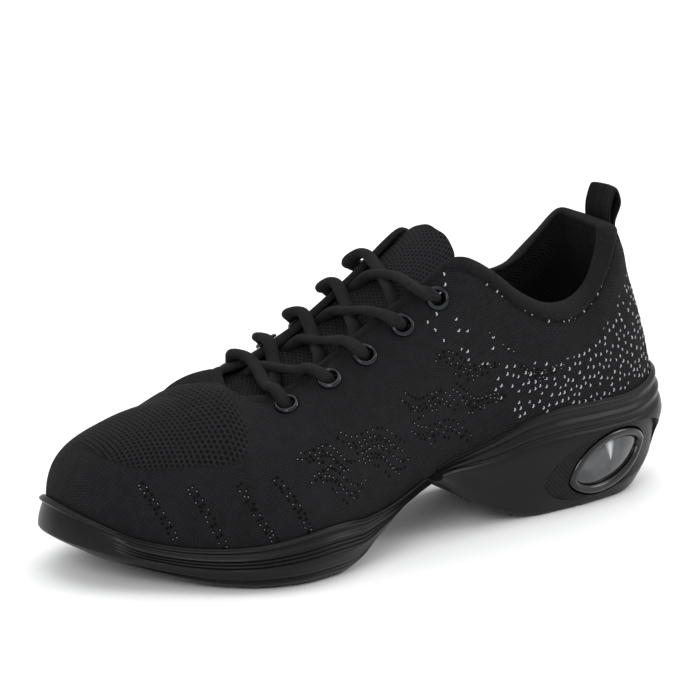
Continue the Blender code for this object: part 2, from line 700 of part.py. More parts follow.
def prism(name, lower, upper):
    """A closed solid between two rings of points."""
    weld = Welder()
    weld.band(lower, upper)
    weld.cap(lower)
    weld.cap(upper)
    return mesh_object(name, weld.points, weld.faces, (0.5, 0.5, 0.5), 0.5)


def side_point(side, arc, z, out):
    """A point of the sole's side, by its distance round the outline from the heel's back."""
    points, normals = OUTLINE[side]
    length = np.concatenate([[0], np.cumsum(np.linalg.norm(np.diff(points, axis=0), axis=1))])
    at = np.array([np.interp(arc, length, points[:, k]) for k in (0, 1)])
    normal = np.array([np.interp(arc, length, normals[:, k]) for k in (0, 1)])
    return [*(at + out * normal / np.linalg.norm(normal)), z]


def eye_ring(side, middle_place, half_length, half_height, tilt, out, point=0.3, count=20, scale=1.0):
    """Points round an eye shape laid on the heel's leaning side, a distance out from the outline."""
    arc, height = middle_place
    ring = []
    for k in range(count):
        a = 2 * math.pi * k / count
        u = half_length * math.cos(a)
        v = half_height * math.sin(a) * abs(math.sin(a)) ** point
        along = u * math.cos(tilt) + v * math.sin(tilt)
        up = v * math.cos(tilt) - u * math.sin(tilt)
        level = height + up * scale
        lean = WINDOW_LEAN * (level - WINDOW_HEIGHT)
        ring.append(side_point(side, arc + along * scale, level, out + lean))
    return ring


def window_ring(side, grow, out, scale=1.0):
    """Points round the window, grown by a distance."""
    middle_place = (WINDOW_ARC, WINDOW_HEIGHT)
    half_length, half_height = WINDOW_HALF_LENGTH + grow, WINDOW_HALF_HEIGHT + grow
    return eye_ring(side, middle_place, half_length, half_height, WINDOW_TILT, out, scale=scale)


def recess_ring(side, out):
    """Points round the shallow recess that the window sits in."""
    middle_place = (RECESS_ARC, RECESS_HEIGHT)
    return eye_ring(
        side, middle_place, RECESS_HALF_LENGTH, RECESS_HALF_HEIGHT, RECESS_TILT, out, point=0.1, count=24
    )


def build_window(side, word):
    """The dark frame and the clear lens of one heel window."""
    rim = WINDOW_RIM - 1.5 * GAP
    back = -POCKET_DEPTH + GAP
    weld = Welder()
    rows = [
        window_ring(side, rim, back),
        window_ring(side, rim, -RECESS_DEPTH - WINDOW_ROUND),
        window_ring(side, rim - WINDOW_ROUND, -RECESS_DEPTH + WINDOW_ROUND / 2),
        window_ring(side, WINDOW_ROUND, -RECESS_DEPTH + WINDOW_ROUND / 2),
        window_ring(side, 0.0, -RECESS_DEPTH - WINDOW_ROUND),
        window_ring(side, 0.0, back),
    ]
    for k, row in enumerate(rows):
        weld.band(row, rows[(k + 1) % len(rows)])
    mesh_object("window_frame_" + word, weld.points, weld.faces, (0.06, 0.062, 0.067), 0.35)
    front = back + LENS_THICKNESS
    weld = Welder()
    rows = [
        window_ring(side, -GAP, back),
        window_ring(side, -GAP, front),
        window_ring(side, -GAP, front + LENS_DOME * 0.4, scale=0.88),
        window_ring(side, -GAP, front + LENS_DOME * 0.8, scale=0.62),
        window_ring(side, -GAP, front + LENS_DOME, scale=0.30),
    ]
    for first, second in zip(rows, rows[1:]):
        weld.band(first, second)
    weld.cap(rows[0])
    weld.cap(rows[-1])
    mesh_object("window_lens_" + word, weld.points, weld.faces, (0.35, 0.37, 0.40), 0.06)


def build_soles():
    """Both sole units, with the recesses for the heel windows and the flex grooves."""
    heel = sole_unit("sole_heel", HEEL_UNIT_STATIONS, HEEL_UNDER, HEEL_SIDE, open_back=False)
    front = sole_unit(
        "sole_forefoot", FOREFOOT_UNIT_STATIONS, FOREFOOT_UNDER, FOREFOOT_SIDE, open_back=True
    )
    for side in (LATERAL, MEDIAL):
        apply_cut(heel, prism("recess", recess_ring(side, -RECESS_DEPTH), recess_ring(side, CUT_REACH)))
        low, high = (window_ring(side, WINDOW_RIM, out) for out in (-POCKET_DEPTH, CUT_REACH))
        apply_cut(heel, prism("pocket", low, high))
    for unit, grooves in ((front, FOREFOOT_GROOVES), (heel, HEEL_GROOVES)):
        for groove in grooves:
            x = groove.along * LENGTH
            depth = bed_height(groove.along) * groove.under + GROOVE_DEPTH
            half, reach = GROOVE_WIDTH / 2, BALL_WIDTH
            skew = math.tan(math.radians(groove.skew)) * reach
            low = [(x - half, -1), (x + half, -1), (x + half, 1), (x - half, 1)]
            lower = [[px + skew * s, reach * s, -0.02] for px, s in low]
            upper = [[px + skew * s, reach * s, depth] for px, s in low]
            apply_cut(unit, prism("groove", lower, upper))


def build_insole():
    """The insole lying on the footbed inside the upper."""
    inset = SOLE_LIP + 2 * GAP + WALL + INSOLE_CLEARANCE
    edge = {}
    for side in (LATERAL, MEDIAL):
        for s in INSOLE_STATIONS:
            in_arch = ARCH_STATIONS[0] - 1e-6 <= s <= ARCH_STATIONS[-1] + 1e-6
            low = bed_height(s) + GAP + (WEB_THICKNESS if in_arch else 0.0)
            top = bed_height(s) + WEB_THICKNESS + GAP + INSOLE_THICKNESS
            base, crest = plan(side, s, -inset), plan(side, s, -inset - INSOLE_BEVEL)
            edge[(side, s)] = [[*base, low], [*base, top - INSOLE_BEVEL], [*crest, top]]
    weld = Welder()
    for back, front in zip(INSOLE_STATIONS[:-1], INSOLE_STATIONS[1:]):
        for side in (LATERAL, MEDIAL):
            weld.strip(edge[(side, back)], edge[(side, front)])
        corners = [(LATERAL, back), (LATERAL, front), (MEDIAL, front), (MEDIAL, back)]
        weld.face(*[edge[c][0] for c in corners])
        weld.face(*[edge[c][2] for c in corners])
    for end in (INSOLE_STATIONS[0], INSOLE_STATIONS[-1]):
        weld.face(*edge[(LATERAL, end)], *edge[(MEDIAL, end)][::-1])
    mesh_object("insole", weld.points, weld.faces, (0.03, 0.03, 0.032), 0.9)


def wall_point(side, along, below, depth):
    """A point a distance below the top edge along a rib, pushed in from the outer side."""
    shares = np.linspace(0, 1, 41)
    near = [rib(side, min(max(along + d, 0.0), 1.0), shares) for d in (-0.008, 0.0, 0.008)]
    line = near[1]
    length = np.concatenate([[0], np.cumsum(np.linalg.norm(np.diff(line, axis=0), axis=1))])
    at = length[-1] - below
    across = np.gradient(line, axis=0)
    ahead = near[2] - near[0]
    normal = np.cross(ahead, across) * (-side)
    here = np.array([np.interp(at, length, line[:, k]) for k in range(3)])
    out = np.array([np.interp(at, length, normal[:, k]) for k in range(3)])
    out /= np.linalg.norm(out)
    return here - out * depth, out


def tongue_row(along):
    """Nine points across the tongue's top face, from the medial to the lateral side."""
    depth = WALL + GAP + TONGUE_CLEARANCE + max(read(TONGUE_ROWS, "sink", along), 0.0) * TONGUE_THICKNESS
    left, right = (
        [wall_point(side, along, d, depth)[0] for d in TONGUE_SIDE_DEPTHS] for side in (LATERAL, MEDIAL)
    )
    crown = (left[-1] + right[-1]) / 2
    width = np.linalg.norm(left[-1] - right[-1])
    if width < TONGUE_CLOSED_GAP:
        middle_points = [0.75 * right[-2] + 0.25 * crown, crown, 0.75 * left[-2] + 0.25 * crown]
    else:
        open_share = ease((width - TONGUE_CLOSED_GAP) / TONGUE_OPEN_GAP)
        lift = np.array([0, 0, TONGUE_CROWN * read(TONGUE_ROWS, "crown", along) * open_share])
        crown = crown + lift
        middle_points = [0.5 * (crown + right[-1]) + 0.2 * lift, crown, 0.5 * (crown + left[-1]) + 0.2 * lift]
    return np.array(right[:-1] + middle_points + left[-2::-1])


def build_tongue():
    """The padded tongue, tucked under both eyestays and the front of the throat."""
    rows = [tongue_row(r.along) for r in TONGUE_ROWS]
    pads = [r.pad for r in TONGUE_ROWS]
    last, centre = rows[0], rows[0][4]
    run = (centre - rows[1][4]) / np.linalg.norm(centre - rows[1][4])
    for r in TONGUE_TOP:
        rows.insert(0, centre + (last - centre) * r.squeeze + run * r.reach)
        pads.insert(0, r.pad)
    top = np.array(rows)
    normal = np.cross(np.gradient(top, axis=1), np.gradient(top, axis=0))
    normal /= np.linalg.norm(normal, axis=2)[:, :, None]
    if normal[len(top) // 2, 4, 2] < 0:
        normal = -normal
    thickness = TONGUE_THICKNESS * np.outer(pads, TONGUE_EDGE)
    bottom = top - normal * thickness[..., None]
    weld = Welder()
    for i in range(len(top) - 1):
        weld.strip(top[i], top[i + 1])
        weld.strip(bottom[i + 1], bottom[i])
        for k in (0, -1):
            weld.face(top[i, k], top[i + 1, k], bottom[i + 1, k], bottom[i, k])
    for i in (0, -1):
        weld.strip(top[i], bottom[i])
    mesh_object("tongue", weld.points, weld.faces, (0.024, 0.024, 0.027), 0.9)


LACE_COLOUR = (0.03, 0.03, 0.032)
OVAL = [(1.0, 0.0), (0.62, 1.0), (-0.62, 1.0), (-1.0, 0.0), (-0.62, -1.0), (0.62, -1.0)]
WEBBING = [(1, 0), (0.8, 1), (0, 1), (-0.8, 1), (-1, 0), (-0.8, -1), (0, -1), (0.8, -1)]


def sweep(name, path, ups, width, thickness, colour, roughness, section=OVAL, wrap=0.0):
    """A solid strap along a path, with rounded edges, wrapped forwards round the heel if asked."""
    path, ups = np.array(path, float), np.array(ups, float)
    weld = Welder()
    rings = []
    for k, p in enumerate(path):
        run = path[min(k + 1, len(path) - 1)] - path[max(k - 1, 0)]
        run /= np.linalg.norm(run)
        up = ups[k] - run * np.dot(ups[k], run)
        up /= np.linalg.norm(up)
        side = np.cross(run, up)
        rings.append(
            [
                p + side * across * width / 2 + up * rise * thickness / 2
                for across, rise in section
            ]
        )
    for ring in rings:
        for p in ring:
            p[0] += wrap * p[1] ** 2
    for first, second in zip(rings, rings[1:]):
        weld.band(first, second)
    weld.face(*rings[0][::-1])
    weld.face(*rings[-1])
    return mesh_object(name, weld.points, weld.faces, colour, roughness)


def smooth_path(points, count):
    """A smooth line through a few points."""
    points = np.array(points, float)
    chord = np.concatenate([[0], np.cumsum(np.linalg.norm(np.diff(points, axis=0), axis=1))])
    return smooth(chord, points, np.linspace(0, chord[-1], count))


def build_pull_loop():
    """The webbing loop behind the heel's collar, both of its legs on the outside."""
    legs = []
    clear = COLLAR_ROLL + GAP + LOOP_CLEARANCE + LOOP_THICKNESS / 2
    for out in (clear, clear + LOOP_CLEARANCE + LOOP_THICKNESS):
        leg = [wall_point(LATERAL, 0.0, d, -out)[0] for d in LOOP_LEG_DEPTHS]
        legs.append([[p[0], 0.0, p[2]] for p in leg])
    front_x = legs[0][-1][0]
    high = legs[0][-1][2] + LOOP_RISE
    top = [
        [front_x, 0.0, high - LOOP_BEND],
        [front_x - LOOP_OPENING / 2, 0.0, high],
        [front_x - LOOP_OPENING, 0.0, high - LOOP_BEND],
    ]
    line = smooth_path(legs[0] + top + legs[1][::-1], 17)
    centre = np.array([front_x - LOOP_OPENING / 2, 0.0, high - LOOP_BEND])
    ups = []
    for k, p in enumerate(line):
        straight = [1.0 if k < len(line) / 2 else -1.0, 0.0, 0.0]
        ups.append(p - centre if p[2] > centre[2] else straight)
    wrap = 1 / (2 * LOOP_HEEL_RADIUS)
    sweep("pull_loop", line, ups, LOOP_WIDTH, LOOP_THICKNESS, (0.018, 0.018, 0.02), 0.8, WEBBING, wrap)


def eyelet_frame(side, row):
    """Middle and outward direction of an eyelet's hole, and the rib that it sits on."""
    along = row.lateral if side == LATERAL else row.medial
    line = rib(side, along, np.linspace(0, 1, 41))
    below = np.linalg.norm(np.diff(line, axis=0), axis=1).sum() * (1 - row.share)
    middle_point, axis = wall_point(side, along, below, 0.0)
    return middle_point, axis, along


def round_ring(middle, axis, radius, offset, count=10):
    """Points round a circle, moved along its axis."""
    first = np.cross(axis, [1.0, 0.0, 0.0])
    first /= np.linalg.norm(first)
    second = np.cross(axis, first)
    angles = [2 * math.pi * k / count for k in range(count)]
    return [
        middle + axis * offset + radius * (math.cos(a) * first + math.sin(a) * second) for a in angles
    ]


def build_eyelets(upper):
    """Five ring eyelets on each side, each through its own hole in the upper."""
    frames = {}
    for side, word in ((LATERAL, "lateral"), (MEDIAL, "medial")):
        for number, row in enumerate(EYELETS, start=1):
            middle_point, axis, along = eyelet_frame(side, row)
            frames[(side, number)] = (middle_point, axis, along)
            hole = EYELET_HOLE_RADIUS + EYELET_TUBE + GAP
            cutter = prism(
                "hole",
                round_ring(middle_point, axis, hole, -0.006),
                round_ring(middle_point, axis, hole, 0.004),
            )
            apply_cut(upper, cutter)
            tube = EYELET_HOLE_RADIUS + EYELET_TUBE
            flange = tube + EYELET_FLANGE
            rows = [
                round_ring(middle_point, axis, EYELET_HOLE_RADIUS, -WALL),
                round_ring(middle_point, axis, EYELET_HOLE_RADIUS, EYELET_LIFT),
                round_ring(middle_point, axis, tube + EYELET_TUBE, EYELET_HEIGHT),
                round_ring(middle_point, axis, flange, EYELET_LIFT),
                round_ring(middle_point, axis, tube, EYELET_LIFT),
                round_ring(middle_point, axis, tube, -WALL),
            ]
            weld = Welder()
            for k, ring in enumerate(rows):
                weld.band(ring, rows[(k + 1) % len(rows)])
            name = "eyelet_%s_%d" % (word, number)
            mesh_object(name, weld.points, weld.faces, (0.16, 0.16, 0.17), 0.35, 0.9)
    return frames


def lace_start(frame, goal):
    """The first two points of a run: over its eyelet, then along the wall towards its goal."""
    middle_point, axis, _ = frame
    heading = goal - middle_point
    heading = heading - axis * np.dot(heading, axis)
    start = middle_point + axis * (EYELET_HEIGHT + GAP + LACE_THICKNESS / 2)
    return [start, start + LACE_KNEE * heading / np.linalg.norm(heading)]


def lace_strand(name, frames, side, number, lift):
    """One run of the lace, from over its eyelet across the tongue towards the other eyestay."""
    frame, goal = frames[(side, number)], frames[(-side, number - 1)]
    own, other = frame[2] + LACE_OWN_EDGE, goal[2] + LACE_FAR_EDGE
    run = tongue_row(other)[4] - tongue_row(own)[4]
    run[1] = 0.0
    upright = np.cross(run / np.linalg.norm(run), [0.0, 1.0, 0.0])
    path = lace_start(frame, goal[0])
    path.append(wall_point(side, own, 0.0, -LACE_EDGE_LIFT)[0])
    for row in LACE_STEPS:
        across = tongue_row(own + (other - own) * row.step)
        beside = across[4 + side] if row.across > 0 else across[4 - side]
        point = across[4] + (beside - across[4]) * abs(row.across)
        path.append(point + upright * (LACE_REST + row.lift * lift))
    ups = [frame[1] * (1 - ease(k / 4)) + upright * ease(k / 4) for k in range(LACE_POINTS)]
    line = smooth_path(path, LACE_POINTS)
    return sweep(name, line, ups, LACE_WIDTH, LACE_THICKNESS, LACE_COLOUR, 0.85)


def build_lace(frames):
    """A straight bar at the front and four crossings up the throat."""
    left, right = frames[(LATERAL, 1)], frames[(MEDIAL, 1)]
    path = lace_start(left, right[0])
    for side, frame in ((LATERAL, left), (MEDIAL, right)):
        path.append(wall_point(side, frame[2] + LACE_BAR_EDGE, 0.0, -LACE_EDGE_LIFT)[0])
    path += lace_start(right, left[0])[::-1]
    ups = [left[1]] * 3 + [[0, 0, 1.0]] * 5 + [right[1]] * 3
    sweep("lace_bar", smooth_path(path, 11), ups, LACE_WIDTH, LACE_THICKNESS, LACE_COLOUR, 0.85)
    for number in range(2, len(EYELETS) + 1):
        over = lace_strand("lace_cross_%d" % (number - 1), frames, LATERAL, number, LACE_OVER)
        under = lace_strand("strand", frames, MEDIAL, number, 0.0)
        join_solid(over, under)


def main():
    """Clears the file and builds every piece."""
    for obj in list(bpy.data.objects):
        bpy.data.objects.remove(obj, do_unlink=True)
    upper = build_upper()
    build_soles()
    for side, word in ((LATERAL, "lateral"), (MEDIAL, "medial")):
        build_window(side, word)
    build_insole()
    build_tongue()
    build_pull_loop()
    frames = build_eyelets(upper)
    build_lace(frames)


main()
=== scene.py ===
"""Looks of a left dance sneaker: knit upper, tongue, lace, split rubber sole and heel windows.

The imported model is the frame. The upper and the soles are built again here from the same named
sizes as the part's source, with the finer surface that the solids leave out.
"""
from __future__ import annotations

import logging
import math
from collections.abc import Callable, Sequence
from dataclasses import dataclass, field
from enum import Enum
from typing import Any, NamedTuple

import bmesh
import bpy
import numpy as np
from mathutils import Matrix, Vector


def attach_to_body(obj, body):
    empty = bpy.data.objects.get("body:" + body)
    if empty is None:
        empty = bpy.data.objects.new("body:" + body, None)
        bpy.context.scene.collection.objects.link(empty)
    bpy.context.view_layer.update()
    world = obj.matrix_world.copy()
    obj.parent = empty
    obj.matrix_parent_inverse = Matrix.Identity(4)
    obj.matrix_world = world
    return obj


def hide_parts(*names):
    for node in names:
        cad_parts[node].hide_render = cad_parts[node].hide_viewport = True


LOG = logging.getLogger("sneaker")

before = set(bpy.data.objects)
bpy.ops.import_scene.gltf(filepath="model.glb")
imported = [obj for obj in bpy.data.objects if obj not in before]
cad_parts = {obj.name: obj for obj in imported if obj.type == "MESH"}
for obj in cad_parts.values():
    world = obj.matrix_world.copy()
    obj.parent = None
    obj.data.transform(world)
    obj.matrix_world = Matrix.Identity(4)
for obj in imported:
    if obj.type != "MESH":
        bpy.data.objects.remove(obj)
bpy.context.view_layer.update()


class Side(Enum):
    """The two sides of a left shoe, valued by their direction along Y."""

    LATERAL = 1
    MEDIAL = -1


class PlanPoint(NamedTuple):
    """A point of the sole's outline: along in shares of the length, across of the ball width."""

    along: float
    across: float


class BedRow(NamedTuple):
    """Footbed height as shares of the heel's drop and the toe spring, and the middle line."""

    along: float
    drop: float
    spring: float
    middle: float


class UnderRow(NamedTuple):
    """Underside of a sole unit, its inset tread edge and the height of its lip, as shares."""

    along: float
    under: float
    inset: float
    lip: float


class SideRow(NamedTuple):
    """A step of a sole's side: share of the way up, and outwards as a share of the flare."""

    height: float
    out: float


class RibRow(NamedTuple):
    """A rib of the upper: its foot, its top, its tilt, its end slope in degrees and its handles."""

    along: float
    top_along: float
    top_out: float
    top_rise: float
    tilt: float
    lean: float
    lower: float
    upper: float
    bulge: float


class EyeletRow(NamedTuple):
    """A pair of eyelets: the ribs that they sit on, and their share of the way up."""

    lateral: float
    medial: float
    share: float


class TongueRow(NamedTuple):
    """A row across the tongue: its station, padding, sinking and the rise of its middle."""

    along: float
    pad: float
    sink: float
    crown: float


def table(kind: type, *rows: tuple[float, ...]) -> list[Any]:
    """Name the columns of a table's rows."""
    return [kind(*row) for row in rows]


LATERAL_EDGE = table(
    PlanPoint, (0.000, 0.000), (0.012, 0.125), (0.040, 0.228), (0.085, 0.295), (0.160, 0.332),
    (0.260, 0.343), (0.360, 0.334), (0.440, 0.337), (0.520, 0.368), (0.600, 0.428), (0.670, 0.480),
    (0.730, 0.490), (0.790, 0.440), (0.850, 0.332), (0.905, 0.205), (0.955, 0.098), (0.988, -0.030),
)
MEDIAL_EDGE = table(
    PlanPoint, (1.000, -0.165), (0.992, -0.290), (0.965, -0.390), (0.915, -0.455), (0.850, -0.492),
    (0.780, -0.503), (0.710, -0.500), (0.630, -0.462), (0.540, -0.400), (0.440, -0.340),
    (0.340, -0.315), (0.240, -0.320), (0.160, -0.325), (0.085, -0.292), (0.040, -0.226),
    (0.012, -0.124),
)
BED = table(
    BedRow, (0.000, 1.000, 0.00, 0.000), (0.329, 1.000, 0.00, 0.000), (0.409, 0.985, 0.00, 0.000),
    (0.449, 0.920, 0.00, 0.000), (0.486, 0.795, 0.00, 0.000), (0.516, 0.650, 0.00, 0.000),
    (0.549, 0.480, 0.00, 0.000), (0.591, 0.286, 0.00, 0.000), (0.629, 0.136, 0.00, -0.004),
    (0.669, 0.045, 0.00, -0.010), (0.709, 0.008, 0.00, -0.020), (0.789, 0.000, 0.00, -0.042),
    (0.840, 0.000, 0.08, -0.080), (0.900, 0.000, 0.28, -0.112), (0.950, 0.000, 0.60, -0.142),
    (1.000, 0.000, 1.00, -0.160),
)
HEEL_UNDER = table(
    UnderRow, (0.000, 0.150, 1.60, 1.00), (0.030, 0.090, 1.30, 0.96), (0.070, 0.020, 1.00, 0.80),
    (0.110, 0.000, 0.85, 0.70), (0.180, 0.000, 0.70, 0.69), (0.269, 0.000, 0.60, 0.67),
    (0.314, 0.060, 0.50, 0.55), (0.349, 0.165, 0.45, 0.36), (0.384, 0.310, 0.40, 0.20),
    (0.414, 0.485, 0.35, 0.12), (0.444, 0.700, 0.30, 0.09), (0.470, 0.880, 0.25, 0.06),
)
FOREFOOT_UNDER = table(
    UnderRow, (0.499, 0.935, 0.10, 0.04), (0.524, 0.935, 0.20, 0.06), (0.549, 0.920, 0.30, 0.11),
    (0.568, 0.730, 0.40, 0.17), (0.591, 0.550, 0.45, 0.27), (0.621, 0.180, 0.50, 0.41),
    (0.643, 0.040, 0.55, 0.54), (0.669, 0.000, 0.60, 0.63), (0.729, 0.000, 0.60, 0.62),
    (0.789, 0.000, 0.60, 0.48), (0.839, 0.080, 0.62, 0.38), (0.899, 0.330, 0.70, 0.34),
    (0.930, 0.480, 0.85, 0.38), (0.970, 0.560, 1.20, 0.55), (1.000, 0.600, 1.60, 0.70),
)
RIBS = table(
    RibRow, (0.000, 0.102, 0.000, 1.010, 0.000, 70, 0.35, 0.30, 0.05),
    (0.030, 0.106, 0.100, 1.012, 0.004, 71, 0.35, 0.30, 0.10),
    (0.080, 0.124, 0.178, 1.010, 0.010, 74, 0.35, 0.30, 0.30),
    (0.140, 0.154, 0.240, 0.866, 0.018, 80, 0.35, 0.30, 0.40),
    (0.219, 0.202, 0.278, 0.712, 0.018, 82, 0.35, 0.30, 0.40),
    (0.284, 0.247, 0.296, 0.690, 0.015, 82, 0.35, 0.30, 0.40),
    (0.339, 0.282, 0.290, 0.724, 0.018, 78, 0.35, 0.30, 0.40),
    (0.384, 0.315, 0.272, 0.795, 0.018, 74, 0.35, 0.30, 0.40),
    (0.419, 0.347, 0.256, 0.888, 0.015, 70, 0.35, 0.30, 0.40),
    (0.449, 0.378, 0.236, 0.968, 0.015, 66, 0.36, 0.30, 0.45),
    (0.471, 0.398, 0.215, 1.015, 0.022, 62, 0.37, 0.32, 0.50),
    (0.491, 0.414, 0.184, 1.028, 0.030, 58, 0.38, 0.32, 0.50),
    (0.519, 0.433, 0.174, 1.000, 0.035, 54, 0.38, 0.32, 0.50),
    (0.549, 0.461, 0.166, 0.955, 0.035, 52, 0.40, 0.34, 0.60),
    (0.584, 0.494, 0.158, 0.920, 0.030, 49, 0.42, 0.36, 0.60),
    (0.619, 0.528, 0.151, 0.902, 0.024, 45, 0.42, 0.36, 0.60),
    (0.659, 0.569, 0.140, 0.876, 0.024, 38, 0.44, 0.38, 0.60),
    (0.699, 0.605, 0.129, 0.846, 0.030, 31, 0.45, 0.38, 0.60),
    (0.739, 0.649, 0.120, 0.802, 0.038, 25, 0.46, 0.40, 0.60),
    (0.769, 0.685, 0.114, 0.768, 0.045, 22, 0.46, 0.40, 0.60),
    (0.789, 0.715, 0.103, 0.760, 0.045, 18, 0.46, 0.40, 0.60),
    (0.802, 0.738, 0.072, 0.762, 0.036, 12, 0.46, 0.40, 0.60),
    (0.811, 0.750, 0.000, 0.766, 0.000, 6, 0.46, 0.40, 0.60),
    (0.844, 0.780, 0.000, 0.758, 0.000, 10, 0.47, 0.40, 0.60),
    (0.878, 0.814, 0.000, 0.706, 0.000, 10, 0.48, 0.40, 0.60),
    (0.915, 0.848, 0.000, 0.664, 0.000, 10, 0.50, 0.42, 0.60),
    (0.950, 0.877, 0.000, 0.620, 0.000, 12, 0.54, 0.44, 0.60),
    (0.980, 0.898, 0.000, 0.582, 0.000, 14, 0.57, 0.44, 0.60),
    (1.000, 0.907, 0.000, 0.565, 0.000, 16, 0.58, 0.44, 0.60),
)
HEEL_SIDE = table(
    SideRow, (0.000, -0.57), (0.020, -0.44), (0.070, -0.28), (0.200, 0.00), (0.400, 0.16),
    (0.560, 0.16), (0.680, 0.06), (0.735, -0.06), (0.765, -0.20), (0.785, -0.22), (0.810, -0.12),
    (0.850, -0.12), (0.880, -0.26), (0.900, -0.34), (0.925, -0.27), (0.955, -0.23), (0.985, -0.27),
    (1.000, -0.44),
)
FOREFOOT_SIDE = table(
    SideRow, (0.000, -0.47), (0.030, -0.36), (0.080, -0.24), (0.200, -0.08), (0.225, -0.16),
    (0.245, -0.15), (0.270, -0.04), (0.380, 0.03), (0.480, 0.05), (0.560, 0.04), (0.580, -0.05),
    (0.600, 0.03), (0.640, 0.02), (0.660, -0.07), (0.680, 0.01), (0.715, 0.00), (0.735, -0.09),
    (0.755, -0.01), (0.820, -0.06), (0.860, -0.20), (0.900, -0.24), (0.940, -0.17), (0.975, -0.20),
    (1.000, -0.33),
)
THROAT_FRONT = 0.811
THROAT_CORNER = 0.784
COLLAR_FRONT = 0.491


def smooth(at: Sequence[float], values: Any, where: Any) -> np.ndarray:
    """Read a smooth curve through points.

    Args:
        at: Where the points lie, rising.
        values: The points' values, one row each.
        where: Where to read the curve.

    Returns:
        The curve's values there.
    """
    at, values = np.asarray(at, float), np.asarray(values, float)
    where = np.asarray(where, float)
    slope = np.gradient(values, at, axis=0)
    low = np.clip(np.searchsorted(at, where) - 1, 0, len(at) - 2)
    step = at[low + 1] - at[low]
    t = (where - at[low]) / step
    if values.ndim > 1:
        t, step = t[..., None], step[..., None]
    start = (1 + 2 * t) * (1 - t) ** 2 * values[low] + t * (1 - t) ** 2 * step * slope[low]
    end = t * t * (3 - 2 * t) * values[low + 1] + t * t * (t - 1) * step * slope[low + 1]
    return start + end


def run_length(points: np.ndarray) -> np.ndarray:
    """Measure how far each point lies along a line of points."""
    return np.concatenate([[0], np.cumsum(np.linalg.norm(np.diff(points, axis=0), axis=1))])


def flat_grid(first: Any, second: Any) -> np.ndarray:
    """Lay out a flat grid from the places of its rows and its columns."""
    return np.stack(np.meshgrid(first, second, indexing="ij"), axis=-1)


def ease(x: Any) -> Any:
    """Step smoothly from 0 to 1."""
    x = np.clip(x, 0.0, 1.0)
    return x * x * (3 - 2 * x)


def column(rows: Sequence[Any], name: str) -> np.ndarray:
    """Take one named column of a table."""
    return np.array([getattr(row, name) for row in rows], float)


def unit(vector: Any) -> np.ndarray:
    """Scale vectors to length 1."""
    vector = np.asarray(vector, float)
    return vector / np.maximum(np.linalg.norm(vector, axis=-1, keepdims=True), 1e-12)


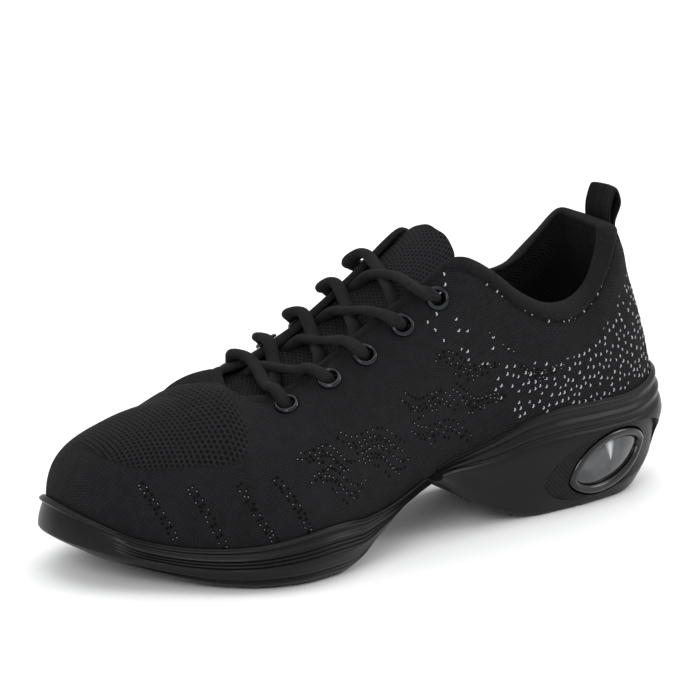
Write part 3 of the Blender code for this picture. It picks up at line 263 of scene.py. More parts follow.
@dataclass
class Last:
    """The shoe's form: outline, footbed and the ribs of the upper, from a few named sizes."""

    length: float = 0.267
    ball_width: float = 0.0975
    heel_stack: float = 0.031
    forefoot_stack: float = 0.009
    toe_spring: float = 0.008
    collar_rise: float = 0.0765
    lip_rise: float = 0.018
    sole_lip: float = 0.0032
    sole_flare: float = 0.006
    tread_reach: float = 0.044
    gap: float = 0.00035
    wall: float = 0.0024
    collar_pad: float = 0.0058
    web: float = 0.0015
    halves: dict = field(default_factory=dict)

    def __post_init__(self) -> None:
        """Trace the outline once."""
        table = LATERAL_EDGE + MEDIAL_EDGE
        points = np.array([[p.along * self.length, p.across * self.ball_width] for p in table])
        wrapped = np.vstack([points[-4:], points, points[:5]])
        chord = run_length(wrapped)
        fine = smooth(chord, wrapped, np.linspace(chord[4], chord[4 + len(points)], 1601))[:-1]
        tangent = np.roll(fine, -1, axis=0) - np.roll(fine, 1, axis=0)
        normal = unit(np.stack([-tangent[:, 1], tangent[:, 0]], axis=1))
        back, tip = int(np.argmin(fine[:, 0])), int(np.argmax(fine[:, 0]))
        order = np.roll(np.arange(len(fine)), -back)
        split = (tip - back) % len(fine)
        lateral = order[: split + 1]
        medial = np.concatenate([order[:1], order[: split - 1 : -1]])
        self.halves = {
            Side.LATERAL: (fine[lateral], normal[lateral]),
            Side.MEDIAL: (fine[medial], normal[medial]),
        }

    @property
    def inset(self) -> float:
        """Say how far inside the outline the upper's foot stands."""
        return self.sole_lip + self.gap

    def plan(self, side: Side, along: Any, out: Any) -> np.ndarray:
        """Find plan points at stations of one side, moved outwards from the outline.

        Args:
            side: The side of the shoe.
            along: Shares of the length.
            out: Distance outwards.

        Returns:
            The points, one row for each station.
        """
        points, normals = self.halves[side]
        share = (points[:, 0] - points[0, 0]) / (points[-1, 0] - points[0, 0])
        at = np.interp(along, share, np.arange(len(points)))
        count = np.arange(len(points))
        place = np.stack([np.interp(at, count, points[:, k]) for k in (0, 1)], axis=-1)
        normal = np.stack([np.interp(at, count, normals[:, k]) for k in (0, 1)], axis=-1)
        return place + np.asarray(out)[..., None] * unit(normal)

    def read(self, rows: Sequence[Any], name: str, along: Any) -> Any:
        """Read a table's column at places along the shoe."""
        return smooth(column(rows, "along"), column(rows, name), along)

    def bed_height(self, along: Any) -> Any:
        """Find the footbed's height above the floor."""
        drop = self.read(BED, "drop", along) * (self.heel_stack - self.forefoot_stack)
        return self.forefoot_stack + drop + self.toe_spring * self.read(BED, "spring", along)

    def rib_top(self, side: Side, along: Any) -> np.ndarray:
        """Find the top ends of ribs, on the ridge, the throat edge or the collar.

        Args:
            side: The side of the shoe.
            along: Stations of the ribs' feet.

        Returns:
            One point for each rib.
        """
        along = np.asarray(along, float)
        top_along = self.read(RIBS, "top_along", along)
        out = np.maximum(self.read(RIBS, "top_out", along), 0.0)
        open_top = (along < THROAT_FRONT - 1e-6) & (along > 0)
        out = np.where(along < THROAT_FRONT - 1e-6, out, 0.0)
        tilt = np.where(open_top, np.maximum(self.read(RIBS, "tilt", along), 0.0), 0.0)
        rise = (self.read(RIBS, "top_rise", along) - side.value * tilt) * self.collar_rise
        middle = self.read(BED, "middle", top_along)
        across = (middle + side.value * out) * self.ball_width
        return np.stack([top_along * self.length, across, self.bed_height(top_along) + rise], -1)

    def ribs(self, side: Side, along: np.ndarray, shares: np.ndarray) -> np.ndarray:
        """Trace the outer side of ribs from the footbed to their tops.

        Args:
            side: The side of the shoe.
            along: Stations of the ribs' feet.
            shares: Places up each rib, from 0 to 1.

        Returns:
            Points by rib and by place.
        """
        along = np.atleast_1d(np.asarray(along, float))
        ones = np.ones(len(along))
        foot = np.column_stack([self.plan(side, along, -self.inset * ones), self.bed_height(along)])
        outward = np.column_stack([self.plan(side, along, ones) - self.plan(side, along, 0 * ones), 0 * ones])
        top = self.rib_top(side, along)
        span = np.linalg.norm(top - foot, axis=1)[:, None]
        inward = unit(np.column_stack([(top - foot)[:, :2], 0 * ones]))
        lean = np.radians(self.read(RIBS, "lean", along))[:, None]
        end = inward * np.cos(lean) + np.array([0, 0, 1.0]) * np.sin(lean)
        ahead = self.rib_top(side, np.minimum(along + 0.02, 1.0))
        behind = self.rib_top(side, along - 0.02)
        ridge_slope = (ahead[:, 2] - behind[:, 2]) / np.maximum(ahead[:, 0] - behind[:, 0], 1e-6)
        ridge = unit(np.column_stack([inward[:, 0], inward[:, 1], inward[:, 0] * ridge_slope]))
        level = ease((along - THROAT_CORNER) / (THROAT_FRONT - THROAT_CORNER))[:, None]
        end = end * (1 - level) + ridge * level
        end = np.where(level > 0, unit(end), end)
        push = self.read(RIBS, "bulge", along)[:, None] * self.sole_flare
        up = np.array([0, 0, 1.0]) * self.read(RIBS, "lower", along)[:, None] * span
        lower = foot + up + outward * push
        upper = top - end * span * self.read(RIBS, "upper", along)[:, None]
        t = np.asarray(shares, float)[None, :, None]
        return (
            (1 - t) ** 3 * foot[:, None]
            + 3 * t * (1 - t) ** 2 * lower[:, None]
            + 3 * t * t * (1 - t) * upper[:, None]
            + t**3 * top[:, None]
        )

    def wall_thickness(self, along: float, share: Any) -> Any:
        """Find the upper's wall: padded towards the collar, thin at the throat and the vamp."""
        collar = 1 - ease((along - COLLAR_FRONT + 0.06) / 0.06)
        return self.wall + (self.collar_pad - self.wall) * collar * ease((share - 0.45) / 0.35)

    def wall_point(self, side: Side, along: float, below: float, depth: float) -> tuple:
        """Find a point a distance below the top edge along a rib, pushed in from outside.

        Args:
            side: The side of the shoe.
            along: Station of the rib.
            below: Distance down from the rib's top.
            depth: Distance inwards from the outer side.

        Returns:
            The point, the outward direction there and the way up the rib.
        """
        lines = self.ribs(side, np.clip([along - 0.004, along, along + 0.004], 0, 1), np.linspace(0, 1, 81))
        line = lines[1]
        run = run_length(line)
        across = np.gradient(line, axis=0)
        normal = np.cross(lines[2] - lines[0], across) * -side.value
        at = run[-1] - below
        here, out, way = (
            np.array([np.interp(at, run, rows[:, k]) for k in range(3)]) for rows in (line, normal, across)
        )
        return here - unit(out) * depth, unit(out), unit(way)

    def side_point(self, side: Side, arc: float, height: float, out: float) -> list[float]:
        """Find a point of the sole's side by its distance round the outline from the heel's back."""
        points, normals = self.halves[side]
        run = run_length(points)
        at = np.array([np.interp(arc, run, points[:, k]) for k in (0, 1)])
        normal = unit(np.array([np.interp(arc, run, normals[:, k]) for k in (0, 1)]))
        return [*(at + out * normal), height]

    def to_frame(self, points: Any) -> np.ndarray:
        """Move points measured from the heel's back to the part's origin."""
        moved = np.array(points, float)
        moved[..., 0] -= self.tread_reach
        return moved


def ring_shares(count: int) -> np.ndarray:
    """Space stations along one side, closer together round the heel and the toe."""
    return (1 - np.cos(np.linspace(0, math.pi, count))) / 2


@dataclass
class Mesh:
    """Gathers points, faces, material numbers and a flat layout, and makes a mesh object."""

    name: str
    points: list = field(default_factory=list)
    faces: list = field(default_factory=list)
    slots: list = field(default_factory=list)
    layout: list = field(default_factory=list)

    def grid(
        self, points: np.ndarray, layout: np.ndarray, slot: int = 0,
        wrap_rows: bool = False, wrap: bool = False,
    ) -> None:
        """Add a grid of quads.

        Args:
            points: Points by row and column.
            layout: Flat place in metres of each point, one column wider or longer where it wraps.
            slot: Material number.
            wrap_rows: Whether the last row joins the first.
            wrap: Whether the last column joins the first.
        """
        rows, columns = points.shape[:2]
        base = len(self.points)
        self.points.extend(points.reshape(-1, 3).tolist())
        flat = np.asarray(layout, float)
        for i in range(rows if wrap_rows else rows - 1):
            for j in range(columns if wrap else columns - 1):
                here, there = base + i * columns, base + (i + 1) % rows * columns
                nearby = (j + 1) % columns
                self.faces.append([here + j, there + j, there + nearby, here + nearby])
                below, beside = min(i + 1, flat.shape[0] - 1), min(j + 1, flat.shape[1] - 1)
                self.layout.extend([flat[i, j], flat[below, j], flat[below, beside], flat[i, beside]])
                self.slots.append(slot)

    def edges(self, top: np.ndarray, low: np.ndarray, flat: np.ndarray, slot: int) -> None:
        """Join two grids round their four edges.

        Args:
            top: Points of the upper grid.
            low: Points of the lower grid.
            flat: Flat place of each point.
            slot: Material number.
        """
        for pick in ((slice(None), 0), (slice(None), -1), (0, slice(None)), (-1, slice(None))):
            self.grid(np.stack([top[pick], low[pick]], 1), np.stack([flat[pick], flat[pick]], 1), slot)

    def fan(self, ring: Sequence[Any], slot: int = 0) -> None:
        """Fill a ring of points with a ladder of faces across it."""
        base, count = len(self.points), len(ring)
        self.points.extend([list(map(float, p)) for p in ring])
        for k in range((count + 1) // 2):
            corners = []
            for n in (k, k + 1, count - k - 1, (count - k) % count):
                if base + n not in corners:
                    corners.append(base + n)
            if len(corners) > 2:
                self.faces.append(corners)
                self.layout.extend([self.points[n][:2] for n in corners])
                self.slots.append(slot)

    def plate(self, ring: Sequence[Any], slot: int = 0) -> None:
        """Close a ring of points with one face."""
        base = len(self.points)
        self.points.extend([list(map(float, p)) for p in ring])
        self.faces.append(list(range(base, base + len(ring))))
        self.layout.extend([p[:2] for p in self.points[base:]])
        self.slots.append(slot)

    def build(
        self, materials: Sequence[bpy.types.Material | None], weld: float = 2e-6, sharp: float = 60.0
    ) -> bpy.types.Object:
        """Make the object, with its points moved to the part's origin.

        Args:
            materials: The object's materials, by number.
            weld: Distance below which points are one.
            sharp: Angle in degrees from which an edge is shown sharp.

        Returns:
            The object.
        """
        data = bpy.data.meshes.new(self.name)
        data.from_pydata(LAST.to_frame(self.points).tolist(), [], self.faces)
        flat = data.uv_layers.new(name="flat")
        for loop, place in zip(flat.data, self.layout):
            loop.uv = (float(place[0]), float(place[1]))
        for polygon, slot in zip(data.polygons, self.slots):
            polygon.material_index = slot
        shape = bmesh.new()
        shape.from_mesh(data)
        if weld:
            bmesh.ops.remove_doubles(shape, verts=shape.verts, dist=weld)
            bmesh.ops.recalc_face_normals(shape, faces=shape.faces)
        shape.to_mesh(data)
        shape.free()
        for material in materials:
            data.materials.append(material)
        data.shade_smooth()
        data.set_sharp_from_angle(angle=math.radians(sharp))
        piece = bpy.data.objects.new(self.name, data)
        bpy.context.scene.collection.objects.link(piece)
        return piece


def attach(piece: bpy.types.Object, slot: str, *nodes: str) -> bpy.types.Object:
    """Make a piece ride on the shoe and stand for CAD nodes."""
    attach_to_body(piece, "root")
    if nodes:
        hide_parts(*nodes)
    return piece


def tube(
    mesh: Mesh, path: np.ndarray, ups: np.ndarray, width: Any, thick: Any, around: int = 14,
    squareness: float = 2.3, slot: int = 0,
) -> None:
    """Sweep an oval along a path.

    Args:
        mesh: The mesh that takes the tube.
        path: Points of the tube's middle.
        ups: The direction of its thin way at each point.
        width: Width, one number or one for each point.
        thick: Thickness, one number or one for each point.
        around: Points round the oval.
        squareness: 2 for an ellipse, more for a flatter oval.
        slot: Material number.
    """
    path, ups = np.asarray(path, float), np.asarray(ups, float)
    run = unit(np.gradient(path, axis=0))
    up = unit(ups - run * np.sum(ups * run, axis=1, keepdims=True))
    side = np.cross(run, up)
    width, thick = (np.broadcast_to(np.asarray(v, float), (len(path),)) for v in (width, thick))
    angle = np.linspace(0, 2 * math.pi, around, endpoint=False)
    power = 2 / squareness
    across = np.sign(np.cos(angle)) * np.abs(np.cos(angle)) ** power
    rise = np.sign(np.sin(angle)) * np.abs(np.sin(angle)) ** power
    rings = path[:, None] + side[:, None] * (across * width[:, None] / 2)[..., None]
    rings = rings + up[:, None] * (rise * thick[:, None] / 2)[..., None]
    girth = np.linspace(0, 1, around + 1) * float(np.mean(width)) * 2.6
    mesh.grid(rings, flat_grid(run_length(path), girth), slot, wrap=True)
    for end in (0, -1):
        mesh.fan(rings[end], slot)


def smooth_path(points: Sequence[Any], count: int) -> np.ndarray:
    """Read a smooth line through a few points."""
    points = np.array([np.asarray(p, float) for p in points])
    chord = run_length(points)
    return smooth(chord, points, np.linspace(0, chord[-1], count))


def cut_away(piece: bpy.types.Object, cutter: bpy.types.Object) -> None:
    """Take a cutter away from a piece, for good, and remove the cutter."""
    cut = piece.modifiers.new("cut", "BOOLEAN")
    cut.operation = "DIFFERENCE"
    cut.solver = "EXACT"
    cut.object = cutter
    settle(piece)
    bpy.data.objects.remove(cutter, do_unlink=True)


def settle(piece: bpy.types.Object, sharp: float = 40.0) -> None:
    """Make a piece's modifiers part of its mesh."""
    graph = bpy.context.evaluated_depsgraph_get()
    data = bpy.data.meshes.new_from_object(piece.evaluated_get(graph), depsgraph=graph)
    piece.modifiers.clear()
    piece.data = data
    data.shade_smooth()
    data.set_sharp_from_angle(angle=math.radians(sharp))


class Socket:
    """A shader value that can be added, multiplied and compared like a number."""

    def __init__(self, maker: "Nodes", link: bpy.types.NodeSocket) -> None:
        """Wrap a node's output."""
        self.maker, self.link = maker, link

    def math(self, operation: str, *others: Any) -> "Socket":
        """Join values with one Math node."""
        return self.maker.add("ShaderNodeMath", {"operation": operation}, dict(enumerate((self, *others))))

    def __add__(self, other: Any) -> "Socket":
        """Add."""
        return self.math("ADD", other)

    def __radd__(self, other: Any) -> "Socket":
        """Add from the right."""
        return self.math("ADD", other)

    def __sub__(self, other: Any) -> "Socket":
        """Take away."""
        return self.math("SUBTRACT", other)

    def __rsub__(self, other: float) -> "Socket":
        """Take this away from a number."""
        return self.maker.add("ShaderNodeMath", {"operation": "SUBTRACT"}, {0: other, 1: self})

    def __mul__(self, other: Any) -> "Socket":
        """Multiply."""
        return self.math("MULTIPLY", other)

    def __rmul__(self, other: Any) -> "Socket":
        """Multiply from the right."""
        return self.math("MULTIPLY", other)

    def __truediv__(self, other: Any) -> "Socket":
        """Divide."""
        return self.math("DIVIDE", other)

    def __pow__(self, other: float) -> "Socket":
        """Raise to a power."""
        return self.math("POWER", other)

    def sin(self) -> "Socket":
        """Take the sine."""
        return self.math("SINE")

    def absolute(self) -> "Socket":
        """Drop the sign."""
        return self.math("ABSOLUTE")

    def fraction(self) -> "Socket":
        """Keep what follows the whole number."""
        return self.math("FRACT")

    def floor(self) -> "Socket":
        """Round down."""
        return self.math("FLOOR")

    def smaller(self, other: Any) -> "Socket":
        """Keep the smaller value."""
        return self.math("MINIMUM", other)

    def step(self, low: float, high: float) -> "Socket":
        """Rise smoothly from 0 at low to 1 at high."""
        values = {"Value": self, "From Min": low, "From Max": high}
        return self.maker.add("ShaderNodeMapRange", {"interpolation_type": "SMOOTHSTEP"}, values)

    def ramp(self, low: float, high: float, start: float, stop: float) -> "Socket":
        """Map the range low to high onto start to stop, clamped."""
        values = {"Value": self, "From Min": low, "From Max": high, "To Min": start, "To Max": stop}
        return self.maker.add("ShaderNodeMapRange", {}, values)


Colour = tuple[float, float, float]
# painted shade: the dark seen through holes in the cloth, painted as colour
HOLE_SHADE_COLOUR: Colour = (0.0016, 0.0016, 0.0018)


def shade(colour: Colour, factor: float) -> Colour:
    """Make a colour lighter or darker, up to white."""
    return tuple(min(1.0, factor * part) for part in colour)


class Nodes:
    """Builds one material's node tree."""

    def __init__(self, name: str) -> None:
        """Start a material with its Principled shader."""
        self.material = bpy.data.materials.new(name)
        self.material.use_nodes = True
        self.tree = self.material.node_tree
        self.shader = self.tree.nodes["Principled BSDF"]

    def add(
        self, kind: str, settings: dict | None = None, values: dict | None = None, output: Any = 0
    ) -> Socket:
        """Add a node.

        Args:
            kind: The node's type.
            settings: Its settings, set first.
            values: Values or links of its inputs, by name or number.
            output: The output that is handed on, by name or number.

        Returns:
            That output.
        """
        node = self.tree.nodes.new(kind)
        for name, value in (settings or {}).items():
            setattr(node, name, value)
        for name, value in (values or {}).items():
            self.set_input(node.inputs[name], value)
        return Socket(self, node.outputs[output])

    def set_input(self, socket: bpy.types.NodeSocket, value: Any) -> None:
        """Link or set one input."""
        if isinstance(value, Socket):
            self.tree.links.new(value.link, socket)
        elif socket.type == "RGBA" and len(value) == 3:
            socket.default_value = (*value, 1.0)
        else:
            socket.default_value = value

    def set(self, **values: Any) -> None:
        """Set or link the shader's inputs, named with underscores for spaces."""
        for name, value in values.items():
            self.set_input(self.shader.inputs[name.replace("_", " ")], value)

    def mix(self, factor: Any, first: Any, second: Any) -> Socket:
        """Mix two colours."""
        values = {"Factor": factor, 6: first, 7: second}
        return self.add("ShaderNodeMix", {"data_type": "RGBA"}, values, 2)

    def split(self, vector: Socket) -> list[Socket]:
        """Take a vector's three parts."""
        first = self.add("ShaderNodeSeparateXYZ", {}, {0: vector})
        return [Socket(self, output) for output in first.link.node.outputs]

    def place(self) -> list[Socket]:
        """Read the flat layout, in metres along and up."""
        return self.split(self.add("ShaderNodeUVMap", {"uv_map": "flat"}))[:2]

    def point(self) -> Socket:
        """Read the place on the object, in metres."""
        return self.add("ShaderNodeTexCoord", {}, {}, "Object")

    def noise(self, scale: float, detail: float = 3.0) -> Socket:
        """Add noise with some cells in a metre and some finer layers."""
        values = {"Vector": self.point(), "Scale": scale, "Detail": detail}
        return self.add("ShaderNodeTexNoise", {}, values)

    def tone(self, scale: float, detail: float = 2.0, low: float = 0.3, high: float = 0.7) -> Socket:
        """Stretch noise between two levels to the full range."""
        return self.noise(scale, detail).ramp(low, high, 0.0, 1.0)

    def cloth(
        self, colour: Socket, roughness: float, height: Socket, depth: float,
        fuzz: tuple[float, float] = (2600, 0.00008), sheen: float = 0.4,
    ) -> None:
        """Finish a cloth with fuzz under its relief and a faint sheen.

        Args:
            colour: Its colour.
            roughness: Its roughness.
            height: Its relief, from 0 to 1.
            depth: Depth of the relief in metres.
            fuzz: The fuzz's scale, and its depth in metres.
            sheen: Roughness of the sheen.
        """
        normal = self.bump(height, depth, 0.9, self.bump(self.noise(fuzz[0], 2), fuzz[1], 0.5))
        self.set(Base_Color=colour, Roughness=roughness, Normal=normal)
        self.set(Sheen_Weight=0.012, Sheen_Roughness=sheen, Specular_IOR_Level=0.10)

    def bump(
        self, height: Socket, distance: float, strength: float = 1.0, under: Socket | None = None
    ) -> Socket:
        """Add a Bump node.

        Args:
            height: Height from 0 to 1.
            distance: Depth in metres of a full step.
            strength: Share of the effect.
            under: A bump that this one lies on.

        Returns:
            The bent normal.
        """
        values = {"Height": height, "Distance": distance, "Strength": strength}
        if under:
            values["Normal"] = under
        return self.add("ShaderNodeBump", {}, values)


LAST = Last()


@dataclass(frozen=True)
class Knit:
    """A flat knit with rows of small V stitches, and an open mesh field if it has one."""

    name: str
    colour: Colour = (0.0086, 0.0086, 0.0096)
    wale: float = 0.0013
    course: float = 0.0011
    depth: float = 0.00050
    open_field: bool = False
    field_middle: tuple[float, float] = (0.1855, 0.186)
    field_half: tuple[float, float] = (0.0255, 0.0345)
    toe_middle: tuple[float, float] = (-0.006, 0.020)
    toe_radius: float = 0.042
    hole_pitch: tuple[float, float] = (0.00185, 0.0022)

    def material(self) -> bpy.types.Material:
        """Make the knit's material."""
        nodes = Nodes(self.name)
        along, up = nodes.place()
        rib = ((along + up * 0.9) * (math.pi / (2.2 * self.wale))).sin().absolute()
        height = self.stitches(along, up) * (rib * 0.55 + 0.45)
        cloud = nodes.tone(24, 2, 0.35, 0.65)
        # painted shade and highlight: the stitch relief also sets the colour, darker in the gaps and lighter
        # on the yarn's tops, over a random tone
        pale = nodes.tone(260) * 0.20 + height * 0.75 + cloud * 0.10
        colour = nodes.mix(pale, shade(self.colour, 0.40), shade(self.colour, 2.1))
        if self.open_field:
            mask, holes = self.mesh_field(nodes)
            # painted shade in the open mesh's holes; the holes themselves are only a bump
            colour = nodes.mix(mask * holes, colour, HOLE_SHADE_COLOUR)
            height = height * (1 - mask) + mask * ((1 - holes) * 2.6)
        nodes.cloth(colour, 0.86, height, self.depth, sheen=0.45)
        return nodes.material

    def stitches(self, along: Socket, up: Socket) -> Socket:
        """Shape rows of V stitches, from 0 in the gaps to 1 on the yarn."""
        column_place = (along * (1 / self.wale)).fraction()
        lean = (column_place - 0.5).absolute()
        row_place = (up * (1 / self.course) + lean * 1.3).fraction()
        yarn = (row_place * math.pi).sin()
        return yarn * ((0.5 - lean) * 7).smaller(1.0) * (lean * 9 + 0.25).smaller(1.0)

    def mesh_field(self, nodes: Nodes) -> tuple[Socket, Socket]:
        """Place the open mesh over the toes: where it lies, and its staggered holes."""
        x, y, z = nodes.split(nodes.point())
        across = (y - self.toe_middle[0]).math("ARCTAN2", z - self.toe_middle[1]) * self.toe_radius
        ahead = (x - self.field_middle[0]) * (1 / self.field_half[0])
        beside = (across - (x - self.field_middle[1]) * -0.30) * (1 / self.field_half[1]) + ahead * 0.18
        reach = ((ahead * ahead) * (ahead * ahead) + beside * beside) ** 0.5
        line = x * (1.12 / self.hole_pitch[0])
        shift = (line.floor() * 0.5).fraction()
        gap_across = ((across * (1 / self.hole_pitch[1]) + shift).fraction() - 0.5).absolute()
        gap_along = (line.fraction() - 0.5).absolute()
        span = (gap_across * gap_across * 0.75 + gap_along * gap_along) ** 0.5
        return 1 - reach.step(0.90, 0.99), 1 - span.step(0.25, 0.37)


@dataclass(frozen=True)
class Ribbed:
    """A ribbed cloth, such as the collar band, the lining, the webbing and the lace."""

    name: str
    colour: Colour
    pitch: float
    depth: float
    slant: float = 0.0
    across_up: bool = False
    cross_pitch: float = 0.0

    def material(self) -> bpy.types.Material:
        """Make the ribbed cloth's material."""
        nodes = Nodes(self.name)
        along, up = nodes.place()
        if self.across_up:
            along, up = up, along
        height = ((along + up * self.slant) * (math.pi / self.pitch)).sin().absolute()
        if self.cross_pitch:
            twill = ((up - along * 0.6) * (2 * math.pi / self.cross_pitch)).sin() * 0.5 + 0.5
            height = height * 0.75 + twill * 0.25
        # painted shade and highlight: the rib relief also sets the colour, darker in the grooves and lighter
        # on the ribs, over a random tone
        pale = height * 0.6 + nodes.tone(420) * 0.3
        colour = nodes.mix(pale, shade(self.colour, 0.45), shade(self.colour, 1.35))
        nodes.cloth(colour, 0.85, height, self.depth, fuzz=(3000, 0.00006))
        return nodes.material


@dataclass(frozen=True)
class AirMesh:
    """A thick mesh with staggered round holes, as on the tongue."""

    name: str
    colour: Colour = (0.0090, 0.0090, 0.0100)
    pitch: float = 0.0019

    def material(self) -> bpy.types.Material:
        """Make the mesh's material."""
        nodes = Nodes(self.name)
        along, up = nodes.place()
        line = up * (1 / (self.pitch * 0.80))
        shift = (line.floor() * 0.5).fraction()
        side = ((along * (1 / self.pitch) + shift).fraction() - 0.5).absolute()
        rise = (line.fraction() - 0.5).absolute()
        span = (side * side + rise * rise * 0.8) ** 0.5
        hole = 1 - span.step(0.16, 0.36)
        colour = nodes.mix(nodes.tone(300) * 0.4 + 0.3, self.colour, shade(self.colour, 1.7))
        # painted shade in the mesh's holes; the holes themselves are only a bump
        nodes.cloth(nodes.mix(hole, colour, shade(HOLE_SHADE_COLOUR, 0.94)), 0.88, 1 - hole, 0.0006)
        return nodes.material


@dataclass(frozen=True)
class Rubber:
    """Moulded satin rubber with a faint grain, lighter and rougher in patches near the floor."""

    name: str
    colour: Colour = (0.0042, 0.0042, 0.0044)
    roughness: float = 0.30
    grain: float = 0.00005
    hatch: float = 0.0

    def material(self) -> bpy.types.Material:
        """Make the rubber's material."""
        nodes = Nodes(self.name)
        x, _, z = nodes.split(nodes.point())
        # lighter colour and more roughness in patches within 3.5 mm of the floor
        near_floor_patches = (1 - z.step(0.0, 0.0035)) * nodes.tone(180, 4, 0.35)
        haze = nodes.tone(60, 3)
        colour = nodes.mix(near_floor_patches * 0.7 + haze * 0.12, self.colour, shade(self.colour, 2.6))
        rough = haze * 0.08 + near_floor_patches * 0.25 + self.roughness
        normal = nodes.bump(nodes.noise(1500, 3), self.grain, 0.6)
        if self.hatch:
            turn = math.pi / self.hatch
            rising, falling = ((x + z) * turn).sin().absolute(), ((x - z) * turn).sin().absolute()
            lines = rising.smaller(falling).step(0.05, 0.55)
            normal = nodes.bump(lines, 0.00025, 0.9, normal)
            # painted shade: the hatch's grooves get a darker colour
            colour = nodes.mix(lines, shade(self.colour, 0.4), colour)
        nodes.set(Base_Color=colour, Roughness=rough, Normal=normal, Specular_IOR_Level=0.15)
        return nodes.material


@dataclass(frozen=True)
class Gloss:
    """A hard surface: dark metal, dark plastic or the clear window, whose lens carries a painted reflection.
    """

    name: str
    colour: Colour
    roughness: float
    metallic: float = 0.0
    coat: float = 0.0
    painted_reflection: float = 0.0
    streak_place: float = 0.024
    painted_reflection_half: float = 0.0024

    def material(self) -> bpy.types.Material:
        """Make the hard surface's material."""
        nodes = Nodes(self.name)
        tone = nodes.tone(140)
        # painted reflection: a bright band across the lens's layout, with the rest of the lens painted darker
        if self.painted_reflection:
            _, around = nodes.place()
            glint = (around - self.streak_place).absolute().ramp(0.0, self.painted_reflection_half, 1.0, 0.0)
            tone = tone * 0.10 + glint * 0.9
        light = shade(self.colour, 1.25 + self.painted_reflection)
        dark = shade(self.colour, 0.8 - 0.5 * min(self.painted_reflection, 1.0))
        normal = nodes.bump(nodes.noise(900, 2), 0.00002, 0.4)
        nodes.set(Base_Color=nodes.mix(tone, dark, light), Roughness=tone * 0.05 + self.roughness)
        nodes.set(Normal=normal, Metallic=self.metallic, Specular_IOR_Level=0.3)
        nodes.set(Coat_Weight=self.coat, Coat_Roughness=0.06)
        return nodes.material


@dataclass(frozen=True)
class YarnAndPaintedLight:
    """Plain yarn for the light specks; also the painted shade of the pinholes and their painted highlights.
    """

    name: str
    colour: Colour
    roughness: float = 0.7
    shine: float = 0.3

    def material(self) -> bpy.types.Material:
        """Make its material."""
        nodes = Nodes(self.name)
        colour = nodes.mix(nodes.tone(700), shade(self.colour, 0.75), self.colour)
        normal = nodes.bump(nodes.noise(3000, 2), 0.00005, 0.5)
        nodes.set(Base_Color=colour, Roughness=self.roughness, Normal=normal)
        nodes.set(Specular_IOR_Level=self.shine)
        return nodes.material


